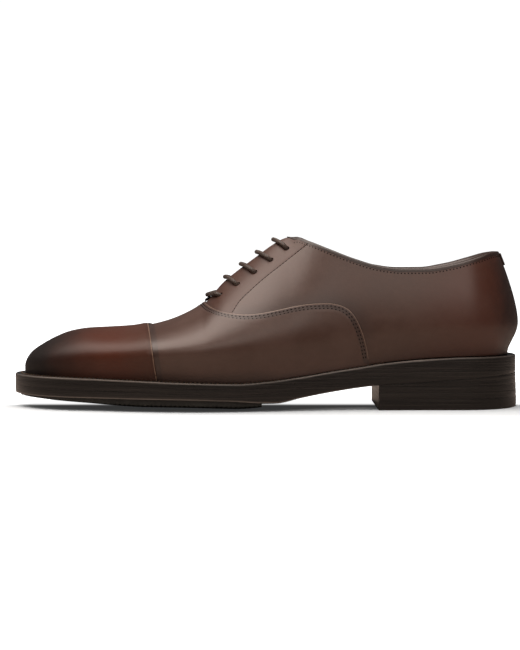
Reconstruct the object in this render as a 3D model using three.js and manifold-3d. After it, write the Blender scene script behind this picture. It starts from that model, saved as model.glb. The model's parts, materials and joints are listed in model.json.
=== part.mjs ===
import * as THREE from "three";
import { mergeVertices } from "three/addons/utils/BufferGeometryUtils.js";
import Module from "manifold-3d";

const wasm = await Module();
wasm.setup();

// Left oxford shoe. Millimetres, +Z up, ground at z = 0, toe towards -X, outer (lateral) side towards -Y.
const toeTip = -143.2; // tip of the reference surface, the middle of the upper's layers
const heelCentre = 116; // axis the heel sections turn about
const soleTip = -151.6;
const soleHeelRadius = 34.6;
const leather = 1.1; // thickness of the upper leathers
const gap = 0.45; // air left between neighbouring pieces
const lap = 8; // how far one upper piece runs under the next
const weltThick = 3;
const midsoleThick = 3.1;
const insoleThick = 3;
const topPieceThick = 6.7;
const breast = 66; // front face of the heel
const laceDiameter = 2.6;
const eyeletHole = 2.3;
const eyelets = [[-27.4, 67.3], [-17.1, 73.7], [-6.8, 80.8], [2.8, 88], [12.2, 94.8]]; // x and z of the eyelet rows
const laceApex = [-6.3, -6.6, -7.4, -7.4, -6.9]; // how far towards the toe each bar crosses the ridge

// Monotone cubic through a table of [x, y] rows.
function curve(rows) {
  const n = rows.length;
  const d = [];
  const m = new Array(n).fill(0);
  for (let i = 0; i < n - 1; i++) d.push((rows[i + 1][1] - rows[i][1]) / (rows[i + 1][0] - rows[i][0]));
  for (let i = 1; i < n - 1; i++) m[i] = d[i - 1] * d[i] <= 0 ? 0 : (2 * d[i - 1] * d[i]) / (d[i - 1] + d[i]);
  m[0] = d[0];
  m[n - 1] = d[n - 2];
  return (x) => {
    if (x <= rows[0][0]) return rows[0][1];
    if (x >= rows[n - 1][0]) return rows[n - 1][1];
    let i = 0;
    while (x > rows[i + 1][0]) i++;
    const h = rows[i + 1][0] - rows[i][0];
    const t = (x - rows[i][0]) / h;
    const a = rows[i][1];
    const b = rows[i + 1][1];
    return (
      a * (2 * t ** 3 - 3 * t ** 2 + 1) + m[i] * h * (t ** 3 - 2 * t ** 2 + t) +
      b * (-2 * t ** 3 + 3 * t ** 2) + m[i + 1] * h * (t ** 3 - t ** 2)
    );
  };
}

const weltTop = curve([[-152, 19.8], [-120.8, 19.3], [-79.9, 18.3], [-37.8, 16.9], [-16, 16.4], [0, 17.4], [21, 19.9], [37.5, 22.6], [55, 25.2], [66, 27], [94, 29.8], [120, 31], [151, 31.2]]);
const ridge = curve([[-143.2, 24], [-142.4, 26.8], [-139.6, 30.8], [-133.5, 35.1], [-126, 39.2], [-117.8, 42.4], [-107.6, 44.2], [-94.7, 44.9], [-81.7, 45.7], [-71, 47.5], [-61.3, 49.8], [-53.7, 52.4], [-45.9, 56], [-39.8, 59.6], [-36.6, 62], [-34.6, 64.3], [-29.5, 70.3], [-25.6, 74.6], [-17.2, 81.7], [-7.2, 89.3], [3.6, 97.6], [9, 101], [14, 103.4], [20, 109.5], [28, 120], [40, 131], [60, 136.5], [80, 136], [116, 135]]);
const sideWidth = {
  "-1": curve([[-143.2, 33.5], [-105, 35.6], [-90, 39.5], [-70, 43.5], [-55, 45.5], [-40, 46], [-20, 44.5], [0, 41], [20, 37], [40, 33.5], [60, 31.5], [80, 30.5], [100, 29.8], [116, 29.6]]),
  1: curve([[-143.2, 35], [-105, 37.8], [-90, 41.5], [-70, 45], [-55, 45.5], [-40, 43.5], [-20, 39], [0, 33], [20, 28], [40, 25.5], [60, 26], [80, 27.5], [100, 29], [116, 29.6]]),
};
const bulge = {
  "-1": curve([[-143.2, 2.2], [-120, 2.4], [-90, 3], [-60, 4], [-30, 4.8], [0, 4.8], [30, 4.2], [60, 4.4], [90, 5.2], [116, 5.9]]),
  1: curve([[-143.2, 2.2], [-120, 2.4], [-90, 3], [-60, 3.6], [-30, 4.6], [0, 6.6], [30, 8], [60, 7.6], [90, 6.6], [116, 5.9]]),
};
const bulgeHeight = curve([[-143.2, 24], [-120, 28.6], [-90, 31], [-60, 33], [-30, 35], [0, 38], [30, 42], [60, 46], [90, 49], [116, 50.5]]);
const fullSide = curve([[-143.2, 0.5], [-70, 0.5], [-40, 0.43], [-22, 0.37], [14, 0.33], [50, 0.27], [116, 0.25]]);
const fullTop = curve([[-143.2, 0.58], [-75, 0.55], [-45, 0.38], [-28, 0.24], [-10, 0.18], [14, 0.17], [50, 0.22], [116, 0.2]]);
const toeOffset = curve([[-143.2, 2.2], [-110, 1.6], [-70, 0.4], [-40, 0], [116, 0]]); // ridge drifts to the inner side at the toe
const topline = curve([[14, 101.3], [18.7, 101.6], [25.4, 99.5], [36.6, 95], [52.1, 89], [66.4, 84.9], [80.6, 83.3], [95, 83.4], [109.4, 85.6], [124.4, 89.4], [135.8, 92.4], [141, 93.2]]);
const throatX = -36.6; // where the vamp ends on the ridge
const vampLine = curve([[throatX, 62], [-31.5, 59.2], [-25.2, 57.1], [-19.9, 56.2], [-12.3, 55.7], [-4.8, 56.3], [6.3, 58.4], [17.6, 60.8], [27.3, 62.2], [36.3, 62.5], [42.3, 61.6], [47.4, 59.4], [51.1, 55.8], [54.5, 49.8], [57.3, 42.4], [59.1, 35.4], [60.6, 27]]);
const facingLine = curve([[-27, 46], [-20.2, 57.1], [-16.2, 63.4], [-8.7, 70.8], [0.4, 78.6], [9.5, 85.6], [17.1, 91.6], [26.2, 98.9]]);
const capLine = curve([[0, -63], [0.3, -65], [0.6, -67.4], [1, -71]]); // by height on the section

const clamp = (x, a, b) => Math.min(Math.max(x, a), b);
const lerp = (a, b, t) => a + (b - a) * t;
const heelBlend = (phi) => Math.sin(phi) ** 2;

// Station: u 0..1 runs toe tip to heel centre along X, 1..2 turns a quarter circle round the heel.
const roundLength = 40;
function stationX(u) {
  const split = 0.3;
  if (u < split) return toeTip + roundLength * (1 - Math.cos((u / split) * (Math.PI / 2)));
  const w = (u - split) / (1 - split);
  const first = (roundLength * (Math.PI / 2)) / split; // matches the speed of the toe part
  const total = heelCentre - toeTip - roundLength;
  const k = (first * (1 - split)) / total;
  return toeTip + roundLength + total * (w * k + w * w * (1 - k));
}
function stationOf(x) {
  let a = 0;
  let b = 1;
  for (let i = 0; i < 48; i++) {
    const c = (a + b) / 2;
    if (stationX(c) < x) a = c;
    else b = c;
  }
  return (a + b) / 2;
}
const toeRound = (x) => (x > toeTip + roundLength ? 1 : Math.sqrt(Math.max(0, 1 - ((toeTip + roundLength - x) / roundLength) ** 2)));

function bezier(a, b, c, d, t) {
  const s = 1 - t;
  return [0, 1].map((i) => a[i] * s ** 3 + 3 * b[i] * s * s * t + 3 * c[i] * s * t * t + d[i] * t ** 3);
}
const lowPart = 0.3; // share of v below the widest point
function section(side, u, v) {
  let x, w, b, zf, zm, zt, phi;
  if (u <= 1) {
    x = stationX(u);
    phi = 0;
    w = sideWidth[side](x) * toeRound(x);
    b = bulge[side](x) * toeRound(x);
    zf = weltTop(x) + 0.35;
    zm = bulgeHeight(x);
    zt = ridge(x);
  } else {
    phi = ((u - 1) * Math.PI) / 2;
    x = heelCentre;
    w = lerp(29.6, 29.9, heelBlend(phi));
    b = lerp(5.9, 6.2, heelBlend(phi));
    zf = weltTop(heelCentre + 30 * Math.sin(phi)) + 0.35;
    zm = 50.5;
    zt = 135;
  }
  const f1 = fullSide(x);
  const f2 = fullTop(x);
  const f = [w, zf];
  const m = [w + b, zm];
  const t = [0, zt];
  let p;
  if (v < lowPart) p = bezier(f, [w, zf + (zm - zf) * 0.3], [m[0], zm - (zm - zf) * 0.4], m, v / lowPart);
  else p = bezier(m, [m[0], zm + f1 * (zt - zm)], [f2 * m[0], zt], t, (v - lowPart) / (1 - lowPart));
  if (u <= 1) return new THREE.Vector3(x, side * p[0] + toeOffset(x), p[1]);
  return new THREE.Vector3(heelCentre + p[0] * Math.sin(phi), side * p[0] * Math.cos(phi), p[1]);
}
function normalAt(side, u, v) {
  if (u < 1e-6) return new THREE.Vector3(-1, 0, 0);
  const e = 1e-3;
  const u0 = Math.max(u - e, 0);
  const u1 = Math.min(u + e, 2);
  const v0 = Math.max(v - e, 0);
  const v1 = Math.min(v + e, 1);
  const du = section(side, u1, v).sub(section(side, u0, v));
  const dv = section(side, u, v1).sub(section(side, u, v0));
  return du.cross(dv).multiplyScalar(-side).normalize();
}
function vOf(side, u, z) {
  let a = 0;
  let b = 1;
  for (let i = 0; i < 40; i++) {
    const c = (a + b) / 2;
    if (section(side, u, c).z < z) a = c;
    else b = c;
  }
  return (a + b) / 2;
}
// v at which the half width from the ridge line falls to y
function vAtWidth(side, u, y) {
  let a = lowPart;
  let b = 1;
  for (let i = 0; i < 40; i++) {
    const c = (a + b) / 2;
    if (Math.abs(section(side, u, c).y - toeOffset(stationX(Math.min(u, 1)))) > y) a = c;
    else b = c;
  }
  return (a + b) / 2;
}
const xAt = (u) => (u <= 1 ? stationX(u) : heelCentre + 27 * Math.sin(((u - 1) * Math.PI) / 2));

// A closed solid between two matching point sets: quads on both, a wall on every open edge.
function thicken(outer, inner, quads, names) {
  const keys = new Map();
  const index = outer.map((p, i) => {
    const k = names ? names[i] : [p.x, p.y, p.z].map((c) => Math.round(c * 500)).join();
    if (!keys.has(k)) keys.set(k, keys.size);
    return keys.get(k);
  });
  const count = keys.size;
  const pos = new Array(count * 2);
  outer.forEach((p, i) => (pos[index[i]] = p));
  const sums = Array.from({ length: count }, () => [new THREE.Vector3(), 0]);
  inner.forEach((p, i) => {
    sums[index[i]][0].add(p);
    sums[index[i]][1]++;
  });
  sums.forEach(([p, n], i) => (pos[count + i] = p.divideScalar(n)));
  const tris = [];
  const edges = new Map();
  const face = (a, b, c) => {
    if (a === b || b === c || a === c) return;
    tris.push(a, b, c, a + count, c + count, b + count);
    for (const [p, q] of [[a, b], [b, c], [c, a]]) {
      const back = `${q},${p}`;
      if (edges.has(back)) edges.delete(back);
      else edges.set(`${p},${q}`, [p, q]);
    }
  };
  for (const q of quads) {
    const [a, b, c, d] = q.map((i) => index[i]);
    const ac = pos[a].distanceTo(pos[c]);
    const bd = pos[b].distanceTo(pos[d]);
    if (ac <= bd) {
      face(a, b, c);
      face(a, c, d);
    } else {
      face(a, b, d);
      face(b, c, d);
    }
  }
  for (const [p, q] of edges.values()) tris.push(p, q + count, q, p, p + count, q + count);
  const g = new THREE.BufferGeometry();
  g.setAttribute("position", new THREE.Float32BufferAttribute(pos.flatMap((p) => [p.x, p.y, p.z]), 3));
  g.setIndex(tris);
  return outward(g);
}
function outward(g) {
  const p = g.getAttribute("position");
  const i = g.index.array;
  let volume = 0;
  const a = new THREE.Vector3();
  const b = new THREE.Vector3();
  const c = new THREE.Vector3();
  for (let t = 0; t < i.length; t += 3) {
    a.fromBufferAttribute(p, i[t]);
    b.fromBufferAttribute(p, i[t + 1]);
    c.fromBufferAttribute(p, i[t + 2]);
    volume += a.dot(b.cross(c));
  }
  if (volume < 0) {
    const flipped = [];
    for (let t = 0; t < i.length; t += 3) flipped.push(i[t], i[t + 2], i[t + 1]);
    g.setIndex(flipped);
  }
  g.computeVertexNormals();
  return g;
}

// A piece of the upper: blocks of (side, u, v) grids, laid between two offsets from the reference surface.
function upper(blocks, low, high) {
  const outer = [];
  const inner = [];
  const quads = [];
  const names = []; // points that the two sides share get one name
  const at = (d, u, v) => (typeof d === "function" ? d(u, v) : d);
  for (const { side, us, vs, n } of blocks) {
    const base = outer.length;
    const rows = us.length;
    us.forEach((row, i) => {
      for (let j = 0; j <= n; j++) {
        const [u, v] = typeof row === "number" ? [row, vs(row, j / n)] : row(j / n);
        const p = section(side, u, v);
        const m = normalAt(side, u, v);
        if (v > 0.9999) m.y = 0;
        if ((u < 1e-6 || u > 1.99999)) m.y = 0;
        m.normalize();
        outer.push(p.clone().addScaledVector(m, at(high, u, v)));
        inner.push(p.clone().addScaledVector(m, at(low, u, v)));
        if (v > 0.9999) names.push(`ridge ${u < 1e-6 ? 0 : u.toFixed(6)}`);
        else if (u < 1e-6) names.push(v < lowPart ? `tip ${v.toFixed(6)}` : "ridge 0");
        else if (u > 1.99999) names.push(`back ${v.toFixed(6)}`);
        else names.push(`${side} ${u.toFixed(6)} ${v.toFixed(6)}`);
      }
    });
    for (let i = 0; i < rows - 1; i++)
      for (let j = 0; j < n; j++) {
        const a = base + i * (n + 1) + j;
        const q = [a, a + 1, a + n + 2, a + n + 1];
        quads.push(side < 0 ? q : q.reverse());
      }
  }
  return thicken(outer, inner, quads, names);
}
const spread = (a, b, n) => Array.from({ length: n + 1 }, (_, i) => lerp(a, b, i / n));
const uCap = (v, shift = 0) => stationOf(capLine(v) + shift);

// Sole plan: half width of the sole edge on each side, with the round toe and the round heel.
const soleWidth = {
  "-1": curve([[-151.6, 39.5], [-105, 42.2], [-90, 46], [-70, 50], [-55, 52], [-40, 52.3], [-20, 50.4], [0, 46], [20, 41.2], [40, 37.6], [60, 35.8], [80, 35], [100, 34.7], [116, 34.6]]),
  1: curve([[-151.6, 41], [-105, 44.2], [-90, 48], [-70, 51.4], [-55, 51.6], [-40, 49.4], [-20, 44.5], [0, 37.6], [20, 32], [40, 30], [60, 31], [80, 33], [100, 34.3], [116, 34.6]]),
};
const soleRound = 46;
function soleEdge(side, u, inset) {
  const plan = (t) => {
    if (t <= 1) {
      const split = 0.3;
      let x;
      if (t < split) x = soleTip + soleRound * (1 - Math.cos((t / split) * (Math.PI / 2)));
      else {
        const w = (t - split) / (1 - split);
        const total = heelCentre - soleTip - soleRound;
        const k = (soleRound * (Math.PI / 2) * (1 - split)) / split / total;
        x = soleTip + soleRound + total * (w * k + w * w * (1 - k));
      }
      const r = x > soleTip + soleRound ? 1 : Math.sqrt(Math.max(0, 1 - ((soleTip + soleRound - x) / soleRound) ** 2));
      return [x, side * soleWidth[side](x) * r + toeOffset(x)];
    }
    const phi = ((t - 1) * Math.PI) / 2;
    return [heelCentre + soleHeelRadius * Math.sin(phi), side * soleHeelRadius * Math.cos(phi)];
  };
  const p = plan(u);
  const a = plan(Math.max(u - 1e-3, 0));
  const b = plan(Math.min(u + 1e-3, 2));
  let nx = (b[1] - a[1]) * side;
  let ny = -(b[0] - a[0]) * side;
  const l = Math.hypot(nx, ny);
  nx /= l;
  ny /= l;
  if (u <= 0) [nx, ny] = [1, 0];
  if (u >= 2) [nx, ny] = [-1, 0];
  const d = typeof inset === "function" ? inset(p[0]) : inset;
  return [p[0] + nx * d, p[1] + ny * d];
}
function soleU(x) {
  let a = 0;
  let b = 2;
  for (let i = 0; i < 40; i++) {
    const c = (a + b) / 2;
    if (soleEdge(-1, c, 0)[0] < x) a = c;
    else b = c;
  }
  return (a + b) / 2;
}
// A plate across the sole between two stations; heights are functions of x, y and the half width there.
function plate(us, inset, top, bottom, ny) {
  const outer = [];
  const inner = [];
  const quads = [];
  us.forEach((u) => {
    const l = soleEdge(-1, u, inset);
    const r = soleEdge(1, u, inset);
    for (let j = 0; j <= ny; j++) {
      const t = j / ny;
      const x = lerp(l[0], r[0], t);
      const y = lerp(l[1], r[1], t);
      const across = Math.abs(2 * t - 1);
      outer.push(new THREE.Vector3(x, y, top(x, across)));
      inner.push(new THREE.Vector3(x, y, bottom(x, across)));
    }
  });
  for (let i = 0; i < us.length - 1; i++)
    for (let j = 0; j < ny; j++) {
      const a = i * (ny + 1) + j;
      quads.push([a, a + 1, a + ny + 2, a + ny + 1]);
    }
  return thicken(outer, inner, quads);
}
// A flat ring that follows the sole edge.
function ring(us, insetOut, insetIn, top, bottom) {
  const loop = [...us.map((u) => [-1, u]), ...us.slice(1, -1).reverse().map((u) => [1, u])];
  const outer = [];
  const inner = [];
  const quads = [];
  loop.forEach(([side, u]) => {
    for (const d of [insetOut, insetIn]) {
      const [x, y] = soleEdge(side, u, d);
      outer.push(new THREE.Vector3(x, y, top(x)));
      inner.push(new THREE.Vector3(x, y, bottom(x)));
    }
  });
  loop.forEach((_, i) => {
    const j = (i + 1) % loop.length;
    quads.push([2 * i, 2 * i + 1, 2 * j + 1, 2 * j]);
  });
  return thicken(outer, inner, quads);
}

const shoe = new THREE.Group();
shoe.name = "leather_oxford_shoe";
const finishes = {
  calf: { color: 0x4d3830, roughness: 0.4, metalness: 0 },
  cap: { color: 0x46302a, roughness: 0.38, metalness: 0 },
  lining: { color: 0xb08a62, roughness: 0.7, metalness: 0 },
  stiffener: { color: 0x8c6d4d, roughness: 0.85, metalness: 0 },
  sole: { color: 0x32281f, roughness: 0.5, metalness: 0 },
  inner: { color: 0xb8946a, roughness: 0.8, metalness: 0 },
  cork: { color: 0xa27b4e, roughness: 0.95, metalness: 0 },
  steel: { color: 0x9a9c9e, roughness: 0.4, metalness: 1 },
  rubber: { color: 0x17191a, roughness: 0.8, metalness: 0 },
  lace: { color: 0x33261f, roughness: 0.7, metalness: 0 },
  tip: { color: 0x2a1f1a, roughness: 0.35, metalness: 0 },
};
function add(name, geometry, finish) {
  const mesh = new THREE.Mesh(geometry, new THREE.MeshStandardMaterial(finishes[finish]));
  mesh.name = name;
  shoe.add(mesh);
}
function solid(g) {
  const copy = g.clone();
  copy.deleteAttribute("normal");
  copy.deleteAttribute("uv");
  const m = mergeVertices(copy, 1e-4);
  return new wasm.Manifold(new wasm.Mesh({ numProp: 3, vertProperties: m.attributes.position.array, triVerts: new Uint32Array(m.index.array) }));
}
function toGeometry(manifold) {
  const m = manifold.getMesh();
  const g = new THREE.BufferGeometry();
  g.setAttribute("position", new THREE.BufferAttribute(new Float32Array(m.vertProperties), 3));
  g.setIndex(Array.from(m.triVerts));
  g.computeVertexNormals();
  return g;
}

// --- upper ---
const both = (make) => [-1, 1].map(make);
const ridgeEdge = (side, u) => vAtWidth(side, u, lerp(1.3, 3, clamp((xAt(u) + 36) / 50, 0, 1)));

// Rows that the layers of the forepart share, so that their facets lie parallel.
const toeRows = spread(0, 1, 7).map((a) => (t) => [uCap(t, -lap - 1.5) * (1 - (1 - a) ** 1.2), t]);
const lapRows = [(t) => [uCap(t, -lap), t], (t) => [uCap(t), t]];
const across = 10;
add("toe_cap", upper(both((side) => ({ side, n: across, us: [...toeRows, ...lapRows] })), leather + gap, 2 * leather + gap), "cap");
add("toe_puff", upper(both((side) => ({ side, n: across, us: toeRows })), 0, leather), "stiffener");

// The vamp's rear edge crosses the instep at the throat, then runs back and down along both sides.
const wingX = -29; // where the edge leaves the throat curve
const wingShare = 6 / across; // share of the rows' points that go on into the wings
const vSeam = (side, x) => (x > 60.1 ? 0.002 : vOf(side, stationOf(x), vampLine(x)));
const seamX = (side, v) => {
  let a = throatX;
  let b = wingX;
  for (let i = 0; i < 40; i++) {
    const c = (a + b) / 2;
    if (vSeam(side, c) > v) a = c;
    else b = c;
  }
  return (a + b) / 2;
};
const throatRow = (side, t) => {
  const vc = vSeam(side, wingX);
  const v = t <= wingShare ? (t / wingShare) * vc : lerp(vc, 1, (t - wingShare) / (1 - wingShare));
  return [stationOf(t <= wingShare ? wingX : t > 0.9999 ? throatX : seamX(side, v)), v];
};
const vampRows = (side) => [0.2, 0.45, 0.65, 0.85, 1].map((a) => (t) => {
  const [u, v] = throatRow(side, t);
  return [lerp(uCap(t), u, a), lerp(t, v, a)];
});
const wingStations = [wingX, -22, -14, -5, 5, 15, 25, 35, 42, 47.5, 50, 52, 56, 58.5, 60.2].map(stationOf);
add("vamp", upper([
  ...both((side) => ({ side, n: across, us: [...lapRows, ...vampRows(side)] })),
  ...both((side) => ({ side, n: 6, us: wingStations.map((u) => (t) => [u, t * vSeam(side, xAt(u))]) })),
], 0, leather), "calf");

const liningEnd = curve([[0, 36], [0.25, 30], [0.3, 6], [0.36, -22], [0.4, -34], [0.5, -46], [1, -50]]);
add("vamp_lining", upper(both((side) => ({
  side, n: across,
  us: [...toeRows, ...lapRows, ...[0.12, 0.26, 0.4, 0.55, 0.7, 0.85, 1].map((a) => (t) => [lerp(uCap(t), stationOf(liningEnd(t)), a), t])],
})), -gap - 1, -gap), "lining");

// where the quarter's lower front edge lies under the vamp
const under = (x) => (x > 56 ? 0 : x < -36 ? vampLine(-36) - lap - 2 : vampLine(x) - lap);
const vUnder = (side, u) => {
  const x = xAt(u);
  if (x >= 52) return 0.002;
  const z = x > 40 ? lerp(under(40), weltTop(52) + 0.4, ((x - 40) / 12) ** 2) : under(x);
  return Math.max(vOf(side, u, z), 0.002);
};
const quarterHigh = -gap - 0.1;
const quarterLow = quarterHigh - leather;
const vHigh = (side, u) => {
  if (u <= 1) {
    const x = stationX(u);
    return vOf(side, u, x < 26.5 ? Math.min(facingLine(x - 0.35) - 0.3, topline(x) - 2) : topline(x) - 2);
  }
  return vOf(side, u, topline(xAt(u)) - 2);
};
const quarterStations = [-21, -16, -10, -2, 6, 14, 18, 21, 25.6, 30, 37, 42, 45, 47.5, 50, 52, 56, 61, 74, 88, 102].map(stationOf).concat([1, 1.2, 1.4, 1.6, 1.8, 1.994]);
function facingBlock(side, n, rows, inset) {
  // rows run from the throat to the top, across from the facing seam to the edge beside the laces
  return {
    side, n,
    us: [0, 0.06, 0.1, 0.13, 0.165, 0.2, 0.25, 0.32, 0.45, 0.58, 0.7, 0.8, 0.9, 1].map((a) => (t) => {
      const xs = lerp(-25 + inset, 25.2, a);
      const xr = lerp(-44 + inset, 14.2, a);
      const us = stationOf(xs);
      const ur = stationOf(xr);
      const vs = vOf(side, us, Math.min(facingLine(xs), topline(xs) - 2));
      const vr = Math.min(ridgeEdge(side, ur), vOf(side, ur, xr > 12 ? topline(xr) - 2 : 200));
      const u = lerp(us, ur, t);
      const v = lerp(vs, vr, t);
      return [u, xAt(u) > 12 ? Math.min(v, vOf(side, u, topline(xAt(u)) - 2.3)) : v];
    }),
  };
}
for (const [side, word] of [[-1, "lateral"], [1, "medial"]]) {
  add(`quarter_${word}`, upper([{
    side, n: 9,
    us: quarterStations.map((u) => (t) => {
      const a = vUnder(side, u);
      return [u, lerp(a, Math.max(vHigh(side, u), a + 0.002), t)];
    }),
  }], quarterLow, quarterHigh), "calf");
}

function holes(geometry, side, list) {
  let body = solid(geometry);
  for (const [x, z] of list) {
    const { p, n } = eyeletFrame(side, x, z);
    const c = new THREE.CylinderGeometry(eyeletHole, eyeletHole, 14, 10);
    c.applyQuaternion(new THREE.Quaternion().setFromUnitVectors(new THREE.Vector3(0, 1, 0), n));
    c.translate(p.x, p.y, p.z);
    body = body.subtract(solid(c));
  }
  return toGeometry(body);
}
function eyeletFrame(side, x, z) {
  const u = stationOf(x);
  const v = vOf(side, u, z);
  return { p: section(side, u, v), n: normalAt(side, u, v) };
}
for (const [side, word] of [[-1, "lateral"], [1, "medial"]]) {
  add(`facing_${word}`, holes(upper([facingBlock(side, 6, 12, 0)], quarterLow, -gap), side, eyelets), "calf");
}

// --- inside of the quarters ---
const deep = (u) => curve([[40, 0], [85, 1], [200, 1]])(u <= 1 ? stationX(u) : 200); // 1 where the heel counter lies between the layers
const liningHigh = (u) => -2.1 - 1.6 * deep(u);
const liningLow = (u) => liningHigh(u) - 1;
const liningStations = [-40, -38.2, -36.6, -34.6, -32, -29.5, -25.6].map(stationOf).concat(quarterStations);
const liningFoot = (side, u) => {
  const x = xAt(u);
  return x > 46 ? 0.002 : vOf(side, u, lerp(weltTop(46) + 0.4, vampLine(-12) - lap - 4, clamp((46 - x) / 40, 0, 1) ** 0.6));
};
const liningTop = (side, u) => {
  const edge = xAt(u) > 12 || u > 1 ? vOf(side, u, topline(xAt(u)) - 2.4) : 1;
  return Math.min(edge, u <= 1 ? ridgeEdge(side, u) - 0.012 : 1);
};
for (const [side, word] of [[-1, "lateral"], [1, "medial"]]) {
  add(`quarter_lining_${word}`, holes(upper([{
    side, n: 9,
    us: liningStations.map((u) => (t) => {
      const a = liningFoot(side, u);
      return [u, lerp(a, Math.max(liningTop(side, u), a + 0.002), t)];
    }),
  }], liningLow, liningHigh), side, eyelets), "lining");
}
const counterStations = [88, 102].map(stationOf).concat([1, 1.2, 1.4, 1.6, 1.8, 2]);
add("heel_counter", upper(both((side) => ({
  side, n: 7,
  us: counterStations.map((u) => (t) => [u, t * vOf(side, u, lerp(54, 72, clamp((xAt(u) - 88) / 40, 0, 1)))]),
})), () => -3.2, () => -2.1), "stiffener");

// --- folded edge round the mouth, and the tab at the back of it ---
function sweep(stations, ringPoints) {
  // a closed bar: a ring of points at each station, ends closed with a fan
  const pos = [];
  const tris = [];
  const n = ringPoints(stations[0]).length;
  stations.forEach((s) => ringPoints(s).forEach((p) => pos.push(p)));
  for (let i = 0; i < stations.length - 1; i++)
    for (let j = 0; j < n; j++) {
      const a = i * n + j;
      const b = i * n + ((j + 1) % n);
      tris.push(a, b, b + n, a, b + n, a + n);
    }
  for (let j = 1; j < n - 1; j++) {
    tris.push(0, j + 1, j);
    const e = (stations.length - 1) * n;
    tris.push(e, e + j, e + j + 1);
  }
  const g = new THREE.BufferGeometry();
  g.setAttribute("position", new THREE.Float32BufferAttribute(pos.flatMap((p) => [p.x, p.y, p.z]), 3));
  g.setIndex(tris);
  return outward(g);
}
function mouthPoint(side, u) {
  const z = topline(xAt(u)) - 1.6;
  const v = vOf(side, u, z);
  const p = section(side, u, v);
  const n = normalAt(side, u, v);
  const up = section(side, u, Math.min(v + 0.01, 1)).sub(p).normalize();
  return { p, n, up };
}
const mouthSide = [16.5, 19, 22, 26, 31, 37, 44, 52, 62, 74, 88, 102].map(stationOf).concat([1, 1.2, 1.4, 1.6, 1.8]);
const mouthLoop = [...mouthSide.map((u) => [-1, u]), [-1, 2], ...mouthSide.slice().reverse().map((u) => [1, u])];
add("topline_binding", sweep(mouthLoop, ([side, u]) => {
  const { p, n, up } = mouthPoint(side, u);
  const d = deep(u);
  const low = -2.9 - 1.6 * d;
  return [[low, 0], [low * 0.62, 1.25], [-1.0, 1.45], [-0.1, 0.9], [0, 0]]
    .map(([a, b]) => p.clone().addScaledVector(n, a).addScaledVector(up, b));
}), "cap");
add("heel_tab", upper(both((side) => ({
  side, n: 3,
  us: [1.85, 1.925, 2].map((u) => (t) => [u, lerp(vOf(side, u, 84.5), vOf(side, u, 91.6), t)]),
})), 0.05, 0.95), "cap");

// --- tongue, which folds down at its foot ---
const tongueStations = [-46, -40, -36.6, -33, -27, -19, -10, 0, 8, 13, 17].map(stationOf);
const tongueHalf = curve([[-46, 13], [-20, 14], [0, 13], [8, 9], [17, 5.2]]);
const tongueDrop = new THREE.Vector3(0.58, 0, -0.81); // square to the line of the instep
function tongueLayer(high, thick) {
  const outer = [];
  const inner = [];
  const quads = [];
  const n = 4;
  tongueStations.forEach((u) => {
    const x = stationX(u);
    for (let j = -n; j <= n; j++) {
      const side = j < 0 ? -1 : 1;
      const w = (Math.abs(j) / n) * tongueHalf(x);
      const v = j === 0 ? 1 : vAtWidth(side, u, w);
      const p = section(side, u, v);
      const flat = 3.2 * (1 - (j / n) ** 2) + Math.max(0, x - 3) * 0.2; // the laces press its middle flat
      outer.push(p.clone().addScaledVector(tongueDrop, high + flat));
      inner.push(p.clone().addScaledVector(tongueDrop, high + flat + thick));
    }
  });
  for (let i = 0; i < tongueStations.length - 1; i++)
    for (let j = 0; j < 2 * n; j++) {
      const a = i * (2 * n + 1) + j;
      quads.push([a, a + 1, a + 2 * n + 2, a + 2 * n + 1]);
    }
  return thicken(outer, inner, quads);
}
add("tongue", tongueLayer(7.8, 1.4), "calf");
add("tongue_lining", tongueLayer(9.65, 1.2), "lining");

// --- sole ---
const rubberEnd = -2; // rear edge of the rubber half sole
const soleUs = [0, 0.07, 0.14, 0.21, 0.28].concat(spread(0.34, 1, 9), [soleU(rubberEnd)], [1.17, 1.34, 1.5, 1.67, 1.84, 2]).sort((a, b) => a - b);
const outsoleBottom = curve([[-152, 8.3], [-109.7, 7.7], [-57.4, 7.4], [-20, 6.4], [-3, 5.2], [6, 5], [20, 7.6], [38, 10.8], [55.2, 13.4], [66, 14.6], [90, 16.2], [120, 18.4], [151, 20.4]]);
const belly = curve([[-151.6, 0], [-148.9, 0], [-140, 1.3], [-110, 2.6], [-70, 4], [-20, 4], [0, 3], [30, 1.6], [60, 0.4], [66, 0], [151, 0]]); // how much lower the middle lies than the edge
const midTop = (x) => weltTop(x) - weltThick - gap;
const midBottom = (x) => midTop(x) - midsoleThick;
const feather = curve([[-152, 10.2], [0, 9.6], [70, 8.6], [151, 8.2]]);
add("welt", ring(soleUs, 0, 10.4, weltTop, (x) => weltTop(x) - weltThick), "sole");
add("insole_rib", ring(soleUs, 10.9, 12.7, (x) => midTop(x) + 2.6, (x) => midTop(x) + gap), "stiffener");
const innerUs = soleUs.map((u) => clamp(u, 0, 2));
add("insole", plate(innerUs, (x) => curve([[-152, 12.4], [20, 13.2], [70, 13.6], [151, 14]])(x), (x) => weltTop(x) + insoleThick - 0.2, (x) => weltTop(x) - 0.2, 4), "inner");
add("sock_lining", plate(innerUs, (x) => curve([[-152, 13], [20, 13.8], [70, 14.2], [151, 14.6]])(x), (x) => weltTop(x) + insoleThick + 1, (x) => weltTop(x) + insoleThick + 0.15, 4), "lining");
add("cork_filler", plate(innerUs, 13.2, (x) => midTop(x) + lerp(2.6, 1.3, clamp(x / 6, 0, 1)), (x) => midTop(x) + gap, 2), "cork");
const shankUs = spread(12, 98, 8);
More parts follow.
